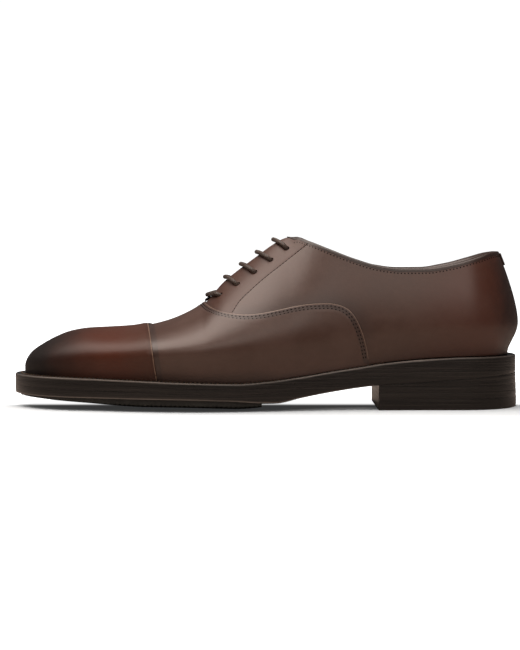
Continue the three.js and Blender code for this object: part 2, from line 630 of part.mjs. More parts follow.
add("shank", (() => {
  const outer = [];
  const inner = [];
  const quads = [];
  shankUs.forEach((x) => [-6.5, 6.5].forEach((y) => {
    outer.push(new THREE.Vector3(x, y, midTop(x) + 2.65));
    inner.push(new THREE.Vector3(x, y, midTop(x) + 1.65));
  }));
  for (let i = 0; i < shankUs.length - 1; i++) quads.push([2 * i, 2 * i + 1, 2 * i + 3, 2 * i + 2]);
  return thicken(outer, inner, quads);
})(), "steel");
add("midsole", plate(soleUs, 0.2, midTop, midBottom, 2), "sole");
const convex = (x, a) => belly(x) * (1 - a * a);
add("outsole", plate(soleUs, 0, (x) => midBottom(x) - gap, (x, a) => outsoleBottom(x) - convex(x, a), 6), "sole");
const rubberUs = soleUs.filter((u) => soleEdge(-1, u, 0)[0] < rubberEnd + 0.1);
const rubberDrop = curve([[-152, 0.9], [-117, 2.3], [-91.5, 3.3], [-70, 3.8], [-20, 3.6], [-2, 2]]);
add("rubber_forepart", plate(rubberUs, 2.4, (x, a) => outsoleBottom(x) - convex(x, a) - gap,
  (x, a) => Math.max(0, outsoleBottom(x) - convex(x, a) - gap - rubberDrop(x)), 6), "rubber");

// --- heel ---
const heelUs = (x0) => {
  const first = soleU(x0);
  return [first].concat(soleUs.filter((u) => u > first + 0.03));
};
const liftTop = curve([[66, 10.9], [151, 10.4]]);
add("heel_top_piece", plate(heelUs(breast), -0.6, () => topPieceThick, () => 0, 2), "rubber");
add("heel_lift_1", plate(heelUs(breast), -0.4, liftTop, () => topPieceThick + gap, 2), "sole");
add("heel_lift_2", plate(heelUs(breast), -0.2, (x) => Math.min(13.9, outsoleBottom(x) - gap), (x) => liftTop(x) + gap, 2), "sole");
add("heel_lift_3", plate(heelUs(80), 0, (x) => Math.min(16.6, outsoleBottom(x) - gap), () => 13.9 + gap, 2), "sole");
add("heel_lift_4", plate(heelUs(116), 0.1, (x) => outsoleBottom(x) - gap, () => 16.6 + gap, 2), "sole");

// --- lace ---
const laceOut = 1.35; // height of the lace's axis over the facings
const laceIn = -4.7; // depth of its axis under the lining
function lacePoint(side, x, width, depth) {
  const u = stationOf(x);
  const v = width < 0.5 ? 1 : vAtWidth(side, u, width);
  const n = normalAt(side, u, v);
  if (width < 0.5) n.y = 0;
  return section(side, u, v).addScaledVector(n.normalize(), depth);
}
const laceRoute = [];
const width = (side, x, z) => Math.abs(section(side, stationOf(x), vOf(side, stationOf(x), z)).y - toeOffset(x));
function put(side, x, w, depth) {
  laceRoute.push(lacePoint(side, x, w, depth));
}
eyelets.forEach(([x, z], i) => {
  const w = { "-1": width(-1, x, z), 1: width(1, x, z) };
  if (i) {
    // under the facings from the row below
    const [back, backZ] = eyelets[i - 1];
    put(1, lerp(back, x, 0.3), width(1, back, backZ) * 0.6, laceIn - 0.1);
    put(-1, lerp(back, x, 0.7), w[-1] * 0.6, laceIn - 0.1);
    put(-1, x, w[-1] - 0.1, laceIn);
  }
  const toe = x + laceApex[i];
  put(-1, x, w[-1], -1.6);
  put(-1, x - 1.2, w[-1] - 1.2, laceOut);
  put(-1, lerp(x, toe, 0.72), w[-1] * 0.4, laceOut + 0.2);
  put(-1, toe, 0, laceOut + (i ? 0.3 : 0.9));
  put(1, lerp(x, toe, 0.72), w[1] * 0.4, laceOut + 0.2);
  put(1, x - 1.2, w[1] - 1.2, laceOut);
  put(1, x, w[1], -1.6);
  if (i < eyelets.length - 1) put(1, x, w[1] - 0.1, laceIn);
});
function tube(points, radius, steps, sides = 8) {
  const path = new THREE.CatmullRomCurve3(points, false, "centripetal");
  const outline = new THREE.Shape(Array.from({ length: sides }, (_, i) => new THREE.Vector2(radius * Math.cos((i * 2 * Math.PI) / sides), radius * Math.sin((i * 2 * Math.PI) / sides))));
  return new THREE.ExtrudeGeometry(outline, { steps, extrudePath: path, bevelEnabled: false });
}
add("lace", tube(laceRoute, laceDiameter / 2, 80), "lace");
const sockTop = (x) => weltTop(x) + insoleThick + 1;
const last = laceRoute[laceRoute.length - 1];
const first = laceRoute[0];
const tagLength = 18;
const [topX] = eyelets[4];
const [lowX] = eyelets[0];
// each end goes under the facing, over the top of the tongue, down the lining and along the sock lining
const tailLateral = [
  first.clone().lerp(lacePoint(-1, lowX, width(-1, ...eyelets[0]), laceIn), 0.35),
  lacePoint(-1, lowX + 0.6, width(-1, ...eyelets[0]) + 1.4, laceIn - 0.4),
  ...[-20, -10, 0, 9, 16].map((x) => lacePoint(-1, x, 18.6 - Math.max(0, x) * 0.12, laceIn - 0.1)),
  lacePoint(-1, 21.5, width(-1, 21.5, 89), laceIn - 0.4),
  ...[[27, -14.5, 78], [31, -17, 62], [34, -18.5, 46], [39, -18, 33.5], [47, -17, 0], [56, -16.5, 0], [66, -16.5, 0], [74, -16.5, 0]]
    .map(([x, y, z]) => new THREE.Vector3(x, y, z || sockTop(x) + laceDiameter / 2 + 0.55)),
];
const tailMedial = [
  last.clone().lerp(lacePoint(1, topX, width(1, ...eyelets[4]), laceIn), 0.35),
  lacePoint(1, topX + 0.4, width(1, topX, 94.4), laceIn - 0.1),
  lacePoint(1, 18, width(1, 18, 93), laceIn - 0.3),
  lacePoint(1, 22.5, width(1, 22.5, 88), laceIn - 0.3),
  ...[[27.5, 12, 78], [31, 14.5, 64], [34, 17.5, 47], [39, 17, 34], [47, 16.4, 0], [58, 16, 0], [70, 16, 0], [82, 16, 0], [93, 15.5, 0]]
    .map(([x, y, z]) => new THREE.Vector3(x, y, z || sockTop(x) + laceDiameter / 2 + 0.55)),
];
add("lace_end_lateral", tube(tailLateral, laceDiameter / 2, 28), "lace");
add("lace_end_medial", tube(tailMedial, laceDiameter / 2, 24), "lace");
for (const [word, tail] of [["lateral", tailLateral], ["medial", tailMedial]]) {
  const end = tail[tail.length - 1];
  const way = end.clone().sub(tail[tail.length - 2]).normalize();
  const tag = new THREE.CylinderGeometry(1.25, 1.4, tagLength, 12);
  tag.applyQuaternion(new THREE.Quaternion().setFromUnitVectors(new THREE.Vector3(0, 1, 0), way));
  const middle = end.clone().addScaledVector(way, tagLength / 2 + 0.4);
  tag.translate(middle.x, middle.y, middle.z);
  add(`aglet_${word}`, tag, "tip");
}

// bar tack that closes the foot of the lace gap
const tack = new THREE.CapsuleGeometry(0.8, 5, 3, 8);
const tackPlace = new THREE.Vector3(-35.1, 0.2, 64.5);
tack.translate(tackPlace.x, tackPlace.y, tackPlace.z);
add("throat_tack", tack, "lace");


// the origin is the middle of the shoe's footprint
const extent = new THREE.Box3().setFromObject(shoe);
shoe.position.set(-(extent.min.x + extent.max.x) / 2, -(extent.min.y + extent.max.y) / 2, 0);

export default shoe;
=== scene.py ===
import json
import math
from functools import lru_cache

import bpy
import bmesh
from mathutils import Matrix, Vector, kdtree


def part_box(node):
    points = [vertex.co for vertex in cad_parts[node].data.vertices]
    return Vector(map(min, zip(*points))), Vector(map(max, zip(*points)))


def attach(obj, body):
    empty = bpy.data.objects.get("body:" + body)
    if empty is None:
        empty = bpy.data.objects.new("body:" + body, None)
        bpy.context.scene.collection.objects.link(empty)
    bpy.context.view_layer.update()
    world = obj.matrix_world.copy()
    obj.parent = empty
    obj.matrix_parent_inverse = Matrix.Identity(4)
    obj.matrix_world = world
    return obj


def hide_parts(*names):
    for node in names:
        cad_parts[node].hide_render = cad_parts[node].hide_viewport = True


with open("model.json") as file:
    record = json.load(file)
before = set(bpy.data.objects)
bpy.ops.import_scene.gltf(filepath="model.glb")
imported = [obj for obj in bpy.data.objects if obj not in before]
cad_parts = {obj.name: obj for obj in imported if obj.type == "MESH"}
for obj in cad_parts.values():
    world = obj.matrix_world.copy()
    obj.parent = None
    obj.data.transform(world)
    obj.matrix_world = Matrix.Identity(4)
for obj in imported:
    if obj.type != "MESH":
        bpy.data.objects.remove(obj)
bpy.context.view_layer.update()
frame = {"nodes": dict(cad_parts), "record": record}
record = frame["record"]
mm = 0.001

# camera: level with the instep, square to the outer side
cameraSet = {"aim": (-0.0035, 0.0, 0.0484), "distance": 1.1, "height": 0.1, "frameHeight": 0.3926}


def makeCamera(c):
    data = bpy.data.cameras.new("camera")
    data.lens = 36 * c["distance"] / c["frameHeight"]
    data.clip_start = 0.05
    data.clip_end = 20
    cam = bpy.data.objects.new("camera", data)
    bpy.context.scene.collection.objects.link(cam)
    cam.location = (c["aim"][0], -c["distance"], c["height"])
    way = Vector(c["aim"]) - cam.location
    cam.rotation_euler = way.to_track_quat("-Z", "Y").to_euler()
    bpy.context.scene.camera = cam


makeCamera(cameraSet)

# driving sizes, in millimetres, as in the solids
shoe = {
    "toeTip": -143.2, "heelCentre": 116.0, "soleTip": -151.6, "heelRadius": 34.6,
    "leather": 1.1, "weltThick": 3.0, "midsoleThick": 3.1, "insoleThick": 3.0,
    "topPieceThick": 6.7, "breast": 66.0, "laceDiameter": 2.6, "rubberEnd": -2.0,
}
eyelets = [(-27.4, 67.3), (-17.1, 73.7), (-6.8, 80.8), (2.8, 88.0), (12.2, 94.8)]
laceApex = [-6.3, -6.6, -7.4, -7.4, -6.9]
# the solids are centred on the footprint, so their origin differs from the last's own
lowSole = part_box("outsole")[0]
lowTop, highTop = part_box("heel_top_piece")
shiftX = lowSole[0] / mm - shoe["soleTip"]
shiftY = (lowTop[1] + highTop[1]) / 2 / mm


def place(p):
    return Vector(((p[0] + shiftX) * mm, (p[1] + shiftY) * mm, p[2] * mm))


def curve(rows):
    # monotone cubic through (x, y) rows
    n = len(rows)
    d = [(rows[i + 1][1] - rows[i][1]) / (rows[i + 1][0] - rows[i][0]) for i in range(n - 1)]
    m = [0.0] * n
    for i in range(1, n - 1):
        m[i] = 0.0 if d[i - 1] * d[i] <= 0 else 2 * d[i - 1] * d[i] / (d[i - 1] + d[i])
    m[0] = d[0]
    m[-1] = d[-1]

    def at(x):
        if x <= rows[0][0]:
            return rows[0][1]
        if x >= rows[-1][0]:
            return rows[-1][1]
        i = 0
        while x > rows[i + 1][0]:
            i += 1
        h = rows[i + 1][0] - rows[i][0]
        t = (x - rows[i][0]) / h
        a, b = rows[i][1], rows[i + 1][1]
        return (a * (2 * t**3 - 3 * t**2 + 1) + m[i] * h * (t**3 - 2 * t**2 + t)
                + b * (-2 * t**3 + 3 * t**2) + m[i + 1] * h * (t**3 - t**2))
    return at


def lerp(a, b, t):
    return a + (b - a) * t


def clamp(x, a, b):
    return min(max(x, a), b)


def smoothStep(t):
    t = clamp(t, 0, 1)
    return t * t * (3 - 2 * t)


def spread(a, b, n):
    return [lerp(a, b, i / n) for i in range(n + 1)]


def bisect(low, high, goesUp, steps=26):
    for _ in range(steps):
        c = (low + high) / 2
        if goesUp(c):
            low = c
        else:
            high = c
    return (low + high) / 2


# the last: the shape that every upper piece is laid on
weltTop = curve([(-152, 19.8), (-120.8, 19.3), (-79.9, 18.3), (-37.8, 16.9), (-16, 16.4), (0, 17.4),
                 (21, 19.9), (37.5, 22.6), (55, 25.2), (66, 27), (94, 29.8), (120, 31), (151, 31.2)])
ridge = curve([(-143.2, 24), (-142.4, 26.8), (-139.6, 30.8), (-133.5, 35.1), (-126, 39.2), (-117.8, 42.4),
               (-107.6, 44.2), (-94.7, 44.9), (-81.7, 45.7), (-71, 47.5), (-61.3, 49.8), (-53.7, 52.4),
               (-45.9, 56), (-39.8, 59.6), (-36.6, 62), (-34.6, 64.3), (-29.5, 70.3), (-25.6, 74.6),
               (-17.2, 81.7), (-7.2, 89.3), (3.6, 97.6), (9, 101), (14, 103.4), (20, 109.5), (28, 120),
               (40, 131), (60, 136.5), (80, 136), (116, 135)])
sideWidth = {
    -1: curve([(-143.2, 33.5), (-105, 35.6), (-90, 39.5), (-70, 43.5), (-55, 45.5), (-40, 46), (-20, 44.5),
               (0, 41), (20, 37), (40, 33.5), (60, 31.5), (80, 30.5), (100, 29.8), (116, 29.6)]),
    1: curve([(-143.2, 35), (-105, 37.8), (-90, 41.5), (-70, 45), (-55, 45.5), (-40, 43.5), (-20, 39),
              (0, 33), (20, 28), (40, 25.5), (60, 26), (80, 27.5), (100, 29), (116, 29.6)]),
}
bulge = {
    -1: curve([(-143.2, 2.2), (-120, 2.4), (-90, 3), (-60, 4), (-30, 4.8), (0, 4.8), (30, 4.2), (60, 4.4),
               (90, 5.2), (116, 5.9)]),
    1: curve([(-143.2, 2.2), (-120, 2.4), (-90, 3), (-60, 3.6), (-30, 4.6), (0, 6.6), (30, 8), (60, 7.6),
              (90, 6.6), (116, 5.9)]),
}
bulgeHeight = curve([(-143.2, 24), (-120, 28.6), (-90, 31), (-60, 33), (-30, 35), (0, 38), (30, 42),
                     (60, 46), (90, 49), (116, 50.5)])
fullSide = curve([(-143.2, 0.5), (-70, 0.5), (-40, 0.43), (-22, 0.37), (14, 0.33), (50, 0.27), (116, 0.25)])
fullTop = curve([(-143.2, 0.58), (-75, 0.55), (-45, 0.38), (-28, 0.24), (-10, 0.18), (14, 0.17), (50, 0.22),
                 (116, 0.2)])
toeOffset = curve([(-143.2, 2.2), (-110, 1.6), (-70, 0.4), (-40, 0), (116, 0)])
topline = curve([(14, 101.3), (18.7, 101.6), (25.4, 99.5), (36.6, 95), (52.1, 89), (66.4, 84.9),
                 (80.6, 83.3), (95, 83.4), (109.4, 85.6), (124.4, 89.4), (135.8, 92.4), (141, 93.2)])
throatX = -36.6
vampLine = curve([(throatX, 62), (-31.5, 59.2), (-25.2, 57.1), (-19.9, 56.2), (-12.3, 55.7), (-4.8, 56.3),
                  (6.3, 58.4), (17.6, 60.8), (27.3, 62.2), (36.3, 62.5), (42.3, 61.6), (47.4, 59.4),
                  (51.1, 55.8), (54.5, 49.8), (57.3, 42.4), (59.1, 35.4), (60.6, 27)])
facingLine = curve([(-27, 46), (-20.2, 57.1), (-16.2, 63.4), (-8.7, 70.8), (0.4, 78.6), (9.5, 85.6),
                    (17.1, 91.6), (26.2, 98.9)])
capLine = curve([(0, -63), (0.3, -65), (0.6, -67.4), (1, -71)])
roundLength = 40.0
split = 0.3
lowPart = 0.3


@lru_cache(maxsize=None)
def stationX(u):
    tip = shoe["toeTip"]
    if u < split:
        return tip + roundLength * (1 - math.cos(u / split * math.pi / 2))
    w = (u - split) / (1 - split)
    total = shoe["heelCentre"] - tip - roundLength
    k = roundLength * (math.pi / 2) / split * (1 - split) / total
    return tip + roundLength + total * (w * k + w * w * (1 - k))


@lru_cache(maxsize=None)
def stationOf(x):
    return bisect(0.0, 1.0, lambda c: stationX(c) < x, 40)


def xAt(u):
    return stationX(u) if u <= 1 else shoe["heelCentre"] + 27 * math.sin((u - 1) * math.pi / 2)


@lru_cache(maxsize=200000)
def sectionPoints(side, u):
    # the two curves of the half section: foot to widest point, widest point to ridge
    if u <= 1:
        x = stationX(u)
        back = shoe["toeTip"] + roundLength
        r = 1.0 if x > back else math.sqrt(max(0.0, 1 - ((back - x) / roundLength) ** 2))
        w, b = sideWidth[side](x) * r, bulge[side](x) * r
        zf, zm, zt = weltTop(x) + 0.35, bulgeHeight(x), ridge(x)
    else:
        phi = (u - 1) * math.pi / 2
        x = shoe["heelCentre"]
        h = math.sin(phi) ** 2
        w, b = lerp(29.6, 29.9, h), lerp(5.9, 6.2, h)
        zf, zm, zt = weltTop(x + 30 * math.sin(phi)) + 0.35, 50.5, 135.0
    f1, f2 = fullSide(x), fullTop(x)
    foot, widest, top = (w, zf), (w + b, zm), (0.0, zt)
    low = (foot, (w, zf + (zm - zf) * 0.3), (w + b, zm - (zm - zf) * 0.4), widest)
    high = (widest, (w + b, zm + f1 * (zt - zm)), (f2 * (w + b), zt), top)
    return low, high


def section(side, u, v):
    low, high = sectionPoints(side, u)
    if v < lowPart:
        a, b, c, d = low
        t = v / lowPart
    else:
        a, b, c, d = high
        t = (v - lowPart) / (1 - lowPart)
    s = 1 - t
    k0, k1, k2, k3 = s * s * s, 3 * s * s * t, 3 * s * t * t, t * t * t
    r = a[0] * k0 + b[0] * k1 + c[0] * k2 + d[0] * k3
    z = a[1] * k0 + b[1] * k1 + c[1] * k2 + d[1] * k3
    if u <= 1:
        x = stationX(u)
        return Vector((x, side * r + toeOffset(x), z))
    phi = (u - 1) * math.pi / 2
    return Vector((shoe["heelCentre"] + r * math.sin(phi), side * r * math.cos(phi), z))


def normalAt(side, u, v):
    if u < 1e-6:
        return Vector((-1, 0, 0))
    e = 1e-3
    u0, u1 = max(u - e, 0), min(u + e, 2)
    v0, v1 = max(v - e, 0), min(v + e, 1)
    du = section(side, u1, v) - section(side, u0, v)
    dv = section(side, u, v1) - section(side, u, v0)
    n = du.cross(dv) * -side
    if v > 0.9999 or u > 1.99999:
        n.y = 0
    return n.normalized()


@lru_cache(maxsize=200000)
def vOf(side, u, z):
    return bisect(0.0, 1.0, lambda c: section(side, u, c).z < z)


@lru_cache(maxsize=200000)
def vAtWidth(side, u, y):
    off = toeOffset(stationX(min(u, 1)))
    return bisect(lowPart, 1.0, lambda c: abs(section(side, u, c).y - off) > y)


def onLast(side, u, v, d=0.0):
    return section(side, u, v) + normalAt(side, u, v) * d


# meshes
def cleanObject(obj, smoothAngle=40):
    bpy.ops.object.select_all(action="DESELECT")
    obj.select_set(True)
    bpy.context.view_layer.objects.active = obj
    bpy.ops.object.shade_smooth_by_angle(angle=math.radians(smoothAngle))


def applyModifiers(obj):
    bpy.ops.object.select_all(action="DESELECT")
    obj.select_set(True)
    bpy.context.view_layer.objects.active = obj
    for m in list(obj.modifiers):
        bpy.ops.object.modifier_apply(modifier=m.name)


def addBevel(obj, width, segments=2, angle=50):
    m = obj.modifiers.new("edge", "BEVEL")
    m.width = width * mm
    m.segments = segments
    m.limit_method = "ANGLE"
    m.angle_limit = math.radians(angle)
    m.harden_normals = False
    applyModifiers(obj)


def makeObject(name, verts, faces, smoothAngle=40, merge=0.002):
    mesh = bpy.data.meshes.new(name)
    mesh.from_pydata([place(p) for p in verts], [], faces)
    mesh.update()
    obj = bpy.data.objects.new(name, mesh)
    bpy.context.scene.collection.objects.link(obj)
    bm = bmesh.new()
    bm.from_mesh(mesh)
    bmesh.ops.remove_doubles(bm, verts=bm.verts, dist=merge * mm)
    bmesh.ops.dissolve_degenerate(bm, dist=0.0005 * mm, edges=bm.edges)
    bmesh.ops.recalc_face_normals(bm, faces=bm.faces)
    bm.to_mesh(mesh)
    bm.free()
    cleanObject(obj, smoothAngle)
    return obj


def closeShell(outer, inner, quads):
    # outer and inner point lists that match, with walls on every open edge
    keys = {}
    index = []
    for p in outer:
        k = tuple(round(c * 400) for c in p)
        index.append(keys.setdefault(k, len(keys)))
    count = len(keys)
    top = [None] * count
    low = [Vector((0, 0, 0)) for _ in range(count)]
    hits = [0] * count
    for i, p in enumerate(outer):
        top[index[i]] = p
        low[index[i]] += inner[i]
        hits[index[i]] += 1
    low = [p / n for p, n in zip(low, hits)]
    faces = []
    edges = {}
    for q in quads:
        f = []
        for i in q:
            if index[i] not in f:
                f.append(index[i])
        if len(f) < 3:
            continue
        faces.append(f)
        faces.append([i + count for i in reversed(f)])
        for a, b in zip(f, f[1:] + f[:1]):
            if (b, a) in edges:
                del edges[(b, a)]
            else:
                edges[(a, b)] = True
    for a, b in edges:
        faces.append([b, a, a + count, b + count])
    return top + low, faces


def gridQuads(base, rows, cols, flip):
    quads = []
    for i in range(rows - 1):
        for j in range(cols - 1):
            a = base + i * cols + j
            q = [a, a + 1, a + cols + 1, a + cols]
            quads.append(q[::-1] if flip else q)
    return quads


def skin(name, blocks, low, high, bevel=0.2, body="shoe", node=None):
    # blocks: (side, rows, shares); each row is a function of a share that gives (u, v)
    outer, inner, quads = [], [], []
    for side, rows, shares in blocks:
        base = len(outer)
        for row in rows:
            for t in shares:
                u, v = row(t)
                p = section(side, u, v)
                m = normalAt(side, u, v)
                outer.append(p + m * (high(p, u, v, side) if callable(high) else high))
                inner.append(p + m * (low(p, u, v, side) if callable(low) else low))
        quads += gridQuads(base, len(rows), len(shares), side > 0)
    verts, faces = closeShell(outer, inner, quads)
    return finish(makeObject(name, verts, faces), bevel, body, node)


def finish(obj, bevel, body, node=None):
    if bevel:
        addBevel(obj, bevel)
        cleanObject(obj)
    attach(obj, body)
    if node != "":
        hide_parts(node or obj.name)
    return obj


class Line:
    # a line of points on the shoe, asked for distances
    def __init__(self, points):
        fine = []
        for a, b in zip(points, points[1:]):
            n = max(1, int((b - a).length / 0.4))
            fine += [a.lerp(b, i / n) for i in range(n)]
        fine.append(points[-1])
        self.points = fine
        self.tree = kdtree.KDTree(len(fine))
        for i, p in enumerate(fine):
            self.tree.insert(p, i)
        self.tree.balance()

    def distance(self, p):
        return self.tree.find(p)[2]


def slide(side, u, v, step):
    # the (u, v) that lies one step, in millimetres, from (u, v)
    aim = section(side, u, v) + step
    for _ in range(3):
        p = section(side, u, v)
        e = 1e-3
        u0, u1 = max(u - e, 0), min(u + e, 2)
        v0, v1 = max(v - e, 0), min(v + e, 1)
        du = (section(side, u1, v) - section(side, u0, v)) / (u1 - u0)
        dv = (section(side, u, v1) - section(side, u, v0)) / (v1 - v0)
        r = aim - p
        a, b, c = du.dot(du), du.dot(dv), dv.dot(dv)
        d, f = du.dot(r), dv.dot(r)
        det = a * c - b * b
        if abs(det) < 1e-9:
            break
        u = clamp(u + (d * c - f * b) / det, 0, 2)
        v = clamp(v + (f * a - d * b) / det, 0, 1)
    return u, v


def edgePath(side, places, inset):
    # points (u, v) beside a line on the last, inset to its lower or front side
    pts = [section(side, u, v) for u, v in places]
    out = []
    for i, (u, v) in enumerate(places):
        way = (pts[min(i + 1, len(pts) - 1)] - pts[max(i - 1, 0)]).normalized()
        across = normalAt(side, u, v).cross(way) * side
        out.append(slide(side, u, v, across * inset))
    return out


print("last and mesh helpers ready")

# upper: outlines of the pieces


def uCap(v, step=0.0):
    return stationOf(capLine(v) + step)


wingX = -29.0
wingShare = 0.6
lap = 8.0


def vSeam(side, x):
    return 0.002 if x > 60.1 else vOf(side, stationOf(x), vampLine(x))


vSeamWing = {side: vSeam(side, wingX) for side in (-1, 1)}


@lru_cache(maxsize=None)
def seamX(side, v):
    return bisect(throatX, wingX, lambda c: vSeam(side, c) > v)


def throatRow(side, t):
    vc = vSeamWing[side]
    if t <= wingShare:
        return stationOf(wingX), t / wingShare * vc
    v = lerp(vc, 1, (t - wingShare) / (1 - wingShare))
    return stationOf(throatX if t > 0.9999 else seamX(side, v)), v


def towards(n, power):
    # shares from 0 to 1 that crowd towards 1
    return [1 - (1 - i / n) ** power for i in range(n + 1)]


sides = (-1, 1)
words = {-1: "lateral", 1: "medial"}
low20 = towards(26, 1.7)
foreShares = [wingShare * t for t in low20] + [lerp(wingShare, 1, i / 22) for i in range(1, 23)]
plain = spread(0, 1, 44)

# toe cap
capSet = {"low": 1.15, "high": 2.6, "edge": 2.0, "skive": 3.2, "bevel": 0.3}
capEdge = {side: Line([section(side, uCap(t), t) for t in spread(0, 1, 60)]) for side in sides}


def capHigh(p, u, v, side):
    d = clamp(capEdge[side].distance(p) / capSet["skive"], 0, 1)
    return lerp(capSet["edge"], capSet["high"], d * d * (3 - 2 * d))


def capRow(a):
    return lambda t: (uCap(t) * a, t)


capShares = towards(46, 1.6)
toeCap = skin("visual_toe_cap", [(s, [capRow(a) for a in capShares], plain) for s in sides],
              capSet["low"], capHigh, capSet["bevel"], node="toe_cap")

# vamp, with wings that run back along both sides
vampSet = {"low": -0.05, "high": 1.1, "edge": 0.85, "skive": 1.6, "bevel": 0.16, "rows": (1.5, 3.0),
           "ridge": 4.5}


def vampEdge(side):
    first = [throatRow(side, t) for t in spread(1, wingShare, 26)]
    xs = spread(wingX, 47, 60)[1:] + spread(47, 60.0, 40)[1:]
    return first + [(stationOf(x), vSeam(side, x)) for x in xs]


vampEdges = {side: vampEdge(side) for side in sides}
vampEdgeLine = {side: Line([section(side, u, v) for u, v in vampEdges[side]]) for side in sides}


def vampHigh(p, u, v, side):
    if v < 0.02:
        return vampSet["high"]
    d = vampEdgeLine[side].distance(p)
    rise = clamp(d / vampSet["skive"], 0, 1)
    press = 0.11 * sum(math.exp(-((d - r) / 0.42) ** 2) for r in vampSet["rows"])
    press -= 0.1 * math.exp(-((d - vampSet["ridge"]) / 0.5) ** 2)
    return lerp(vampSet["edge"], vampSet["high"], rise * (2 - rise)) - press


def vampRow(side, a):
    def row(t):
        u, v = throatRow(side, t)
        u0 = uCap(t, -lap * 0.8)
        return lerp(u0, u, a), lerp(t, v, a)
    return row


def wingRow(side, u):
    return lambda t: (u, t * vSeam(side, xAt(u)))


wingXs = spread(wingX, 44, 70) + spread(44, 60.0, 46)[1:]
vampShares = towards(60, 1.5)
vampBlocks = [(s, [vampRow(s, a) for a in vampShares], foreShares) for s in sides]
vampBlocks += [(s, [wingRow(s, stationOf(x)) for x in wingXs], low20) for s in sides]
vamp = skin("visual_vamp", vampBlocks, vampSet["low"], vampHigh, vampSet["bevel"], node="vamp")
print("toe cap and vamp made")

# quarters
quarterSet = {"low": -1.65, "high": -0.1, "seamDip": 0.16}


def vUnder(side, u):
    x = xAt(u)
    if x >= 52:
        return 0.002
    low = vampLine(x) - lap if x <= 40 else lerp(vampLine(40) - lap, weltTop(52) + 0.4, ((x - 40) / 12) ** 2)
    return max(vOf(side, u, low), 0.002)


def vHigh(side, u):
    x = xAt(u)
    if u <= 1 and x < 26.5:
        return vOf(side, u, min(facingLine(x) - 0.12, topline(x) - 1.6))
    return vOf(side, u, topline(x) - 1.6)


def quarterRow(side, u):
    def row(t):
        a = vUnder(side, u)
        return u, lerp(a, max(vHigh(side, u), a + 0.002), t)
    return row


def facingPlaces(side, step=0.0):
    return [(stationOf(x), vOf(side, stationOf(x), facingLine(x) + step)) for x in spread(-24, 25.4, 60)]


seamLine = {side: Line([section(side, u, v) for u, v in facingPlaces(side)]) for side in sides}


def quarterHigh(p, u, v, side):
    # the edge turns down into the seam
    d = seamLine[side].distance(p)
    return quarterSet["high"] - quarterSet["seamDip"] * math.exp(-(d / 0.3) ** 2)


quarterXs = spread(-20.8, 14, 52) + spread(14, 30, 26)[1:] + spread(30, 115, 60)[1:]
quarterUs = [stationOf(x) for x in quarterXs] + spread(1.0, 2.0, 40)
quarters = {}
for side in sides:
    block = (side, [quarterRow(side, u) for u in quarterUs], towards(46, 1.35))
    quarters[side] = skin(f"visual_quarter_{words[side]}", [block], quarterSet["low"], quarterHigh, 0.12,
                          node=f"quarter_{words[side]}")

# facings: the strips that carry the eyelets
facingSet = {"low": -1.65, "high": -0.05, "hole": 1.75}


def ridgeEdge(side, u):
    return vAtWidth(side, u, lerp(1.3, 3, clamp((xAt(u) + 36) / 50, 0, 1)))


def facingRow(side, a):
    xs, xr = lerp(-25, 25.2, a), lerp(-44, 14.2, a)
    us, ur = stationOf(xs), stationOf(xr)
    vs = vOf(side, us, min(facingLine(xs) + 0.12, topline(xs) - 1.6))
    vr = min(ridgeEdge(side, ur), vOf(side, ur, topline(xr) - 0.1 if xr > 12 else 200))

    def row(t):
        u, v = lerp(us, ur, t), lerp(vs, vr, t)
        x = xAt(u)
        if x > 12:
            v = min(v, vOf(side, u, topline(x) - lerp(0.1, 1.6, smoothStep((x - 13) / 4))))
        return u, v
    return row


def facingHigh(p, u, v, side):
    d = seamLine[side].distance(p)
    return facingSet["high"] - quarterSet["seamDip"] * math.exp(-(d / 0.3) ** 2)


def eyeletPlace(side, x, z):
    u = stationOf(x)
    v = vOf(side, u, z)
    return section(side, u, v), normalAt(side, u, v)


def cutHoles(obj, side, radius):
    for x, z in eyelets:
        p, n = eyeletPlace(side, x, z)
        bpy.ops.object.select_all(action="DESELECT")
        bpy.ops.mesh.primitive_cylinder_add(vertices=20, radius=radius * mm, depth=14 * mm, location=place(p),
                                            rotation=n.to_track_quat("Z", "Y").to_euler())
        cutter = bpy.context.object
        m = obj.modifiers.new("hole", "BOOLEAN")
        m.operation = "DIFFERENCE"
        m.solver = "EXACT"
        m.object = cutter
        applyModifiers(obj)
        bpy.data.objects.remove(cutter)


facings = {}
for side in sides:
    word = words[side]
    rows = [facingRow(side, a) for a in spread(0, 0.45, 34) + spread(0.45, 1, 44)[1:]]
    obj = skin(f"visual_facing_{word}", [(side, rows, spread(0, 1, 30))], facingSet["low"], facingHigh, 0,
               node=f"facing_{word}")
    cutHoles(obj, side, facingSet["hole"])
    addBevel(obj, 0.14, 2, 42)
    cleanObject(obj)
    facings[side] = obj
print("quarters and facings made")

# linings
deepAt = curve([(40, 0), (85, 1), (200, 1)])


def deep(u):
    return deepAt(stationX(u) if u <= 1 else 200)


liningEnd = curve([(0, 36), (0.25, 30), (0.3, 6), (0.36, -22), (0.4, -34), (0.5, -46), (1, -50)])


def liningRow(a):
    return lambda t: (lerp(0.0, stationOf(liningEnd(t)), a), t)


vampLining = skin("visual_vamp_lining",
                  [(s, [liningRow(a) for a in spread(0, 1, 40)], spread(0, 1, 30)) for s in sides],
                  -1.45, -0.5, 0.15, node="vamp_lining")


def quarterLiningRow(side, u):
    x = xAt(u)
    foot = 0.002 if x > 46 else vOf(side, u, lerp(weltTop(46) + 0.4, vampLine(-12) - lap - 4,
                                                  clamp((46 - x) / 40, 0, 1) ** 0.6))
    edge = vOf(side, u, topline(x) - 1.9) if x > 12 or u > 1 else 1
    top = max(min(edge, ridgeEdge(side, u) - 0.012 if u <= 1 else 1), foot + 0.002)
    return lambda t: (u, lerp(foot, top, t))


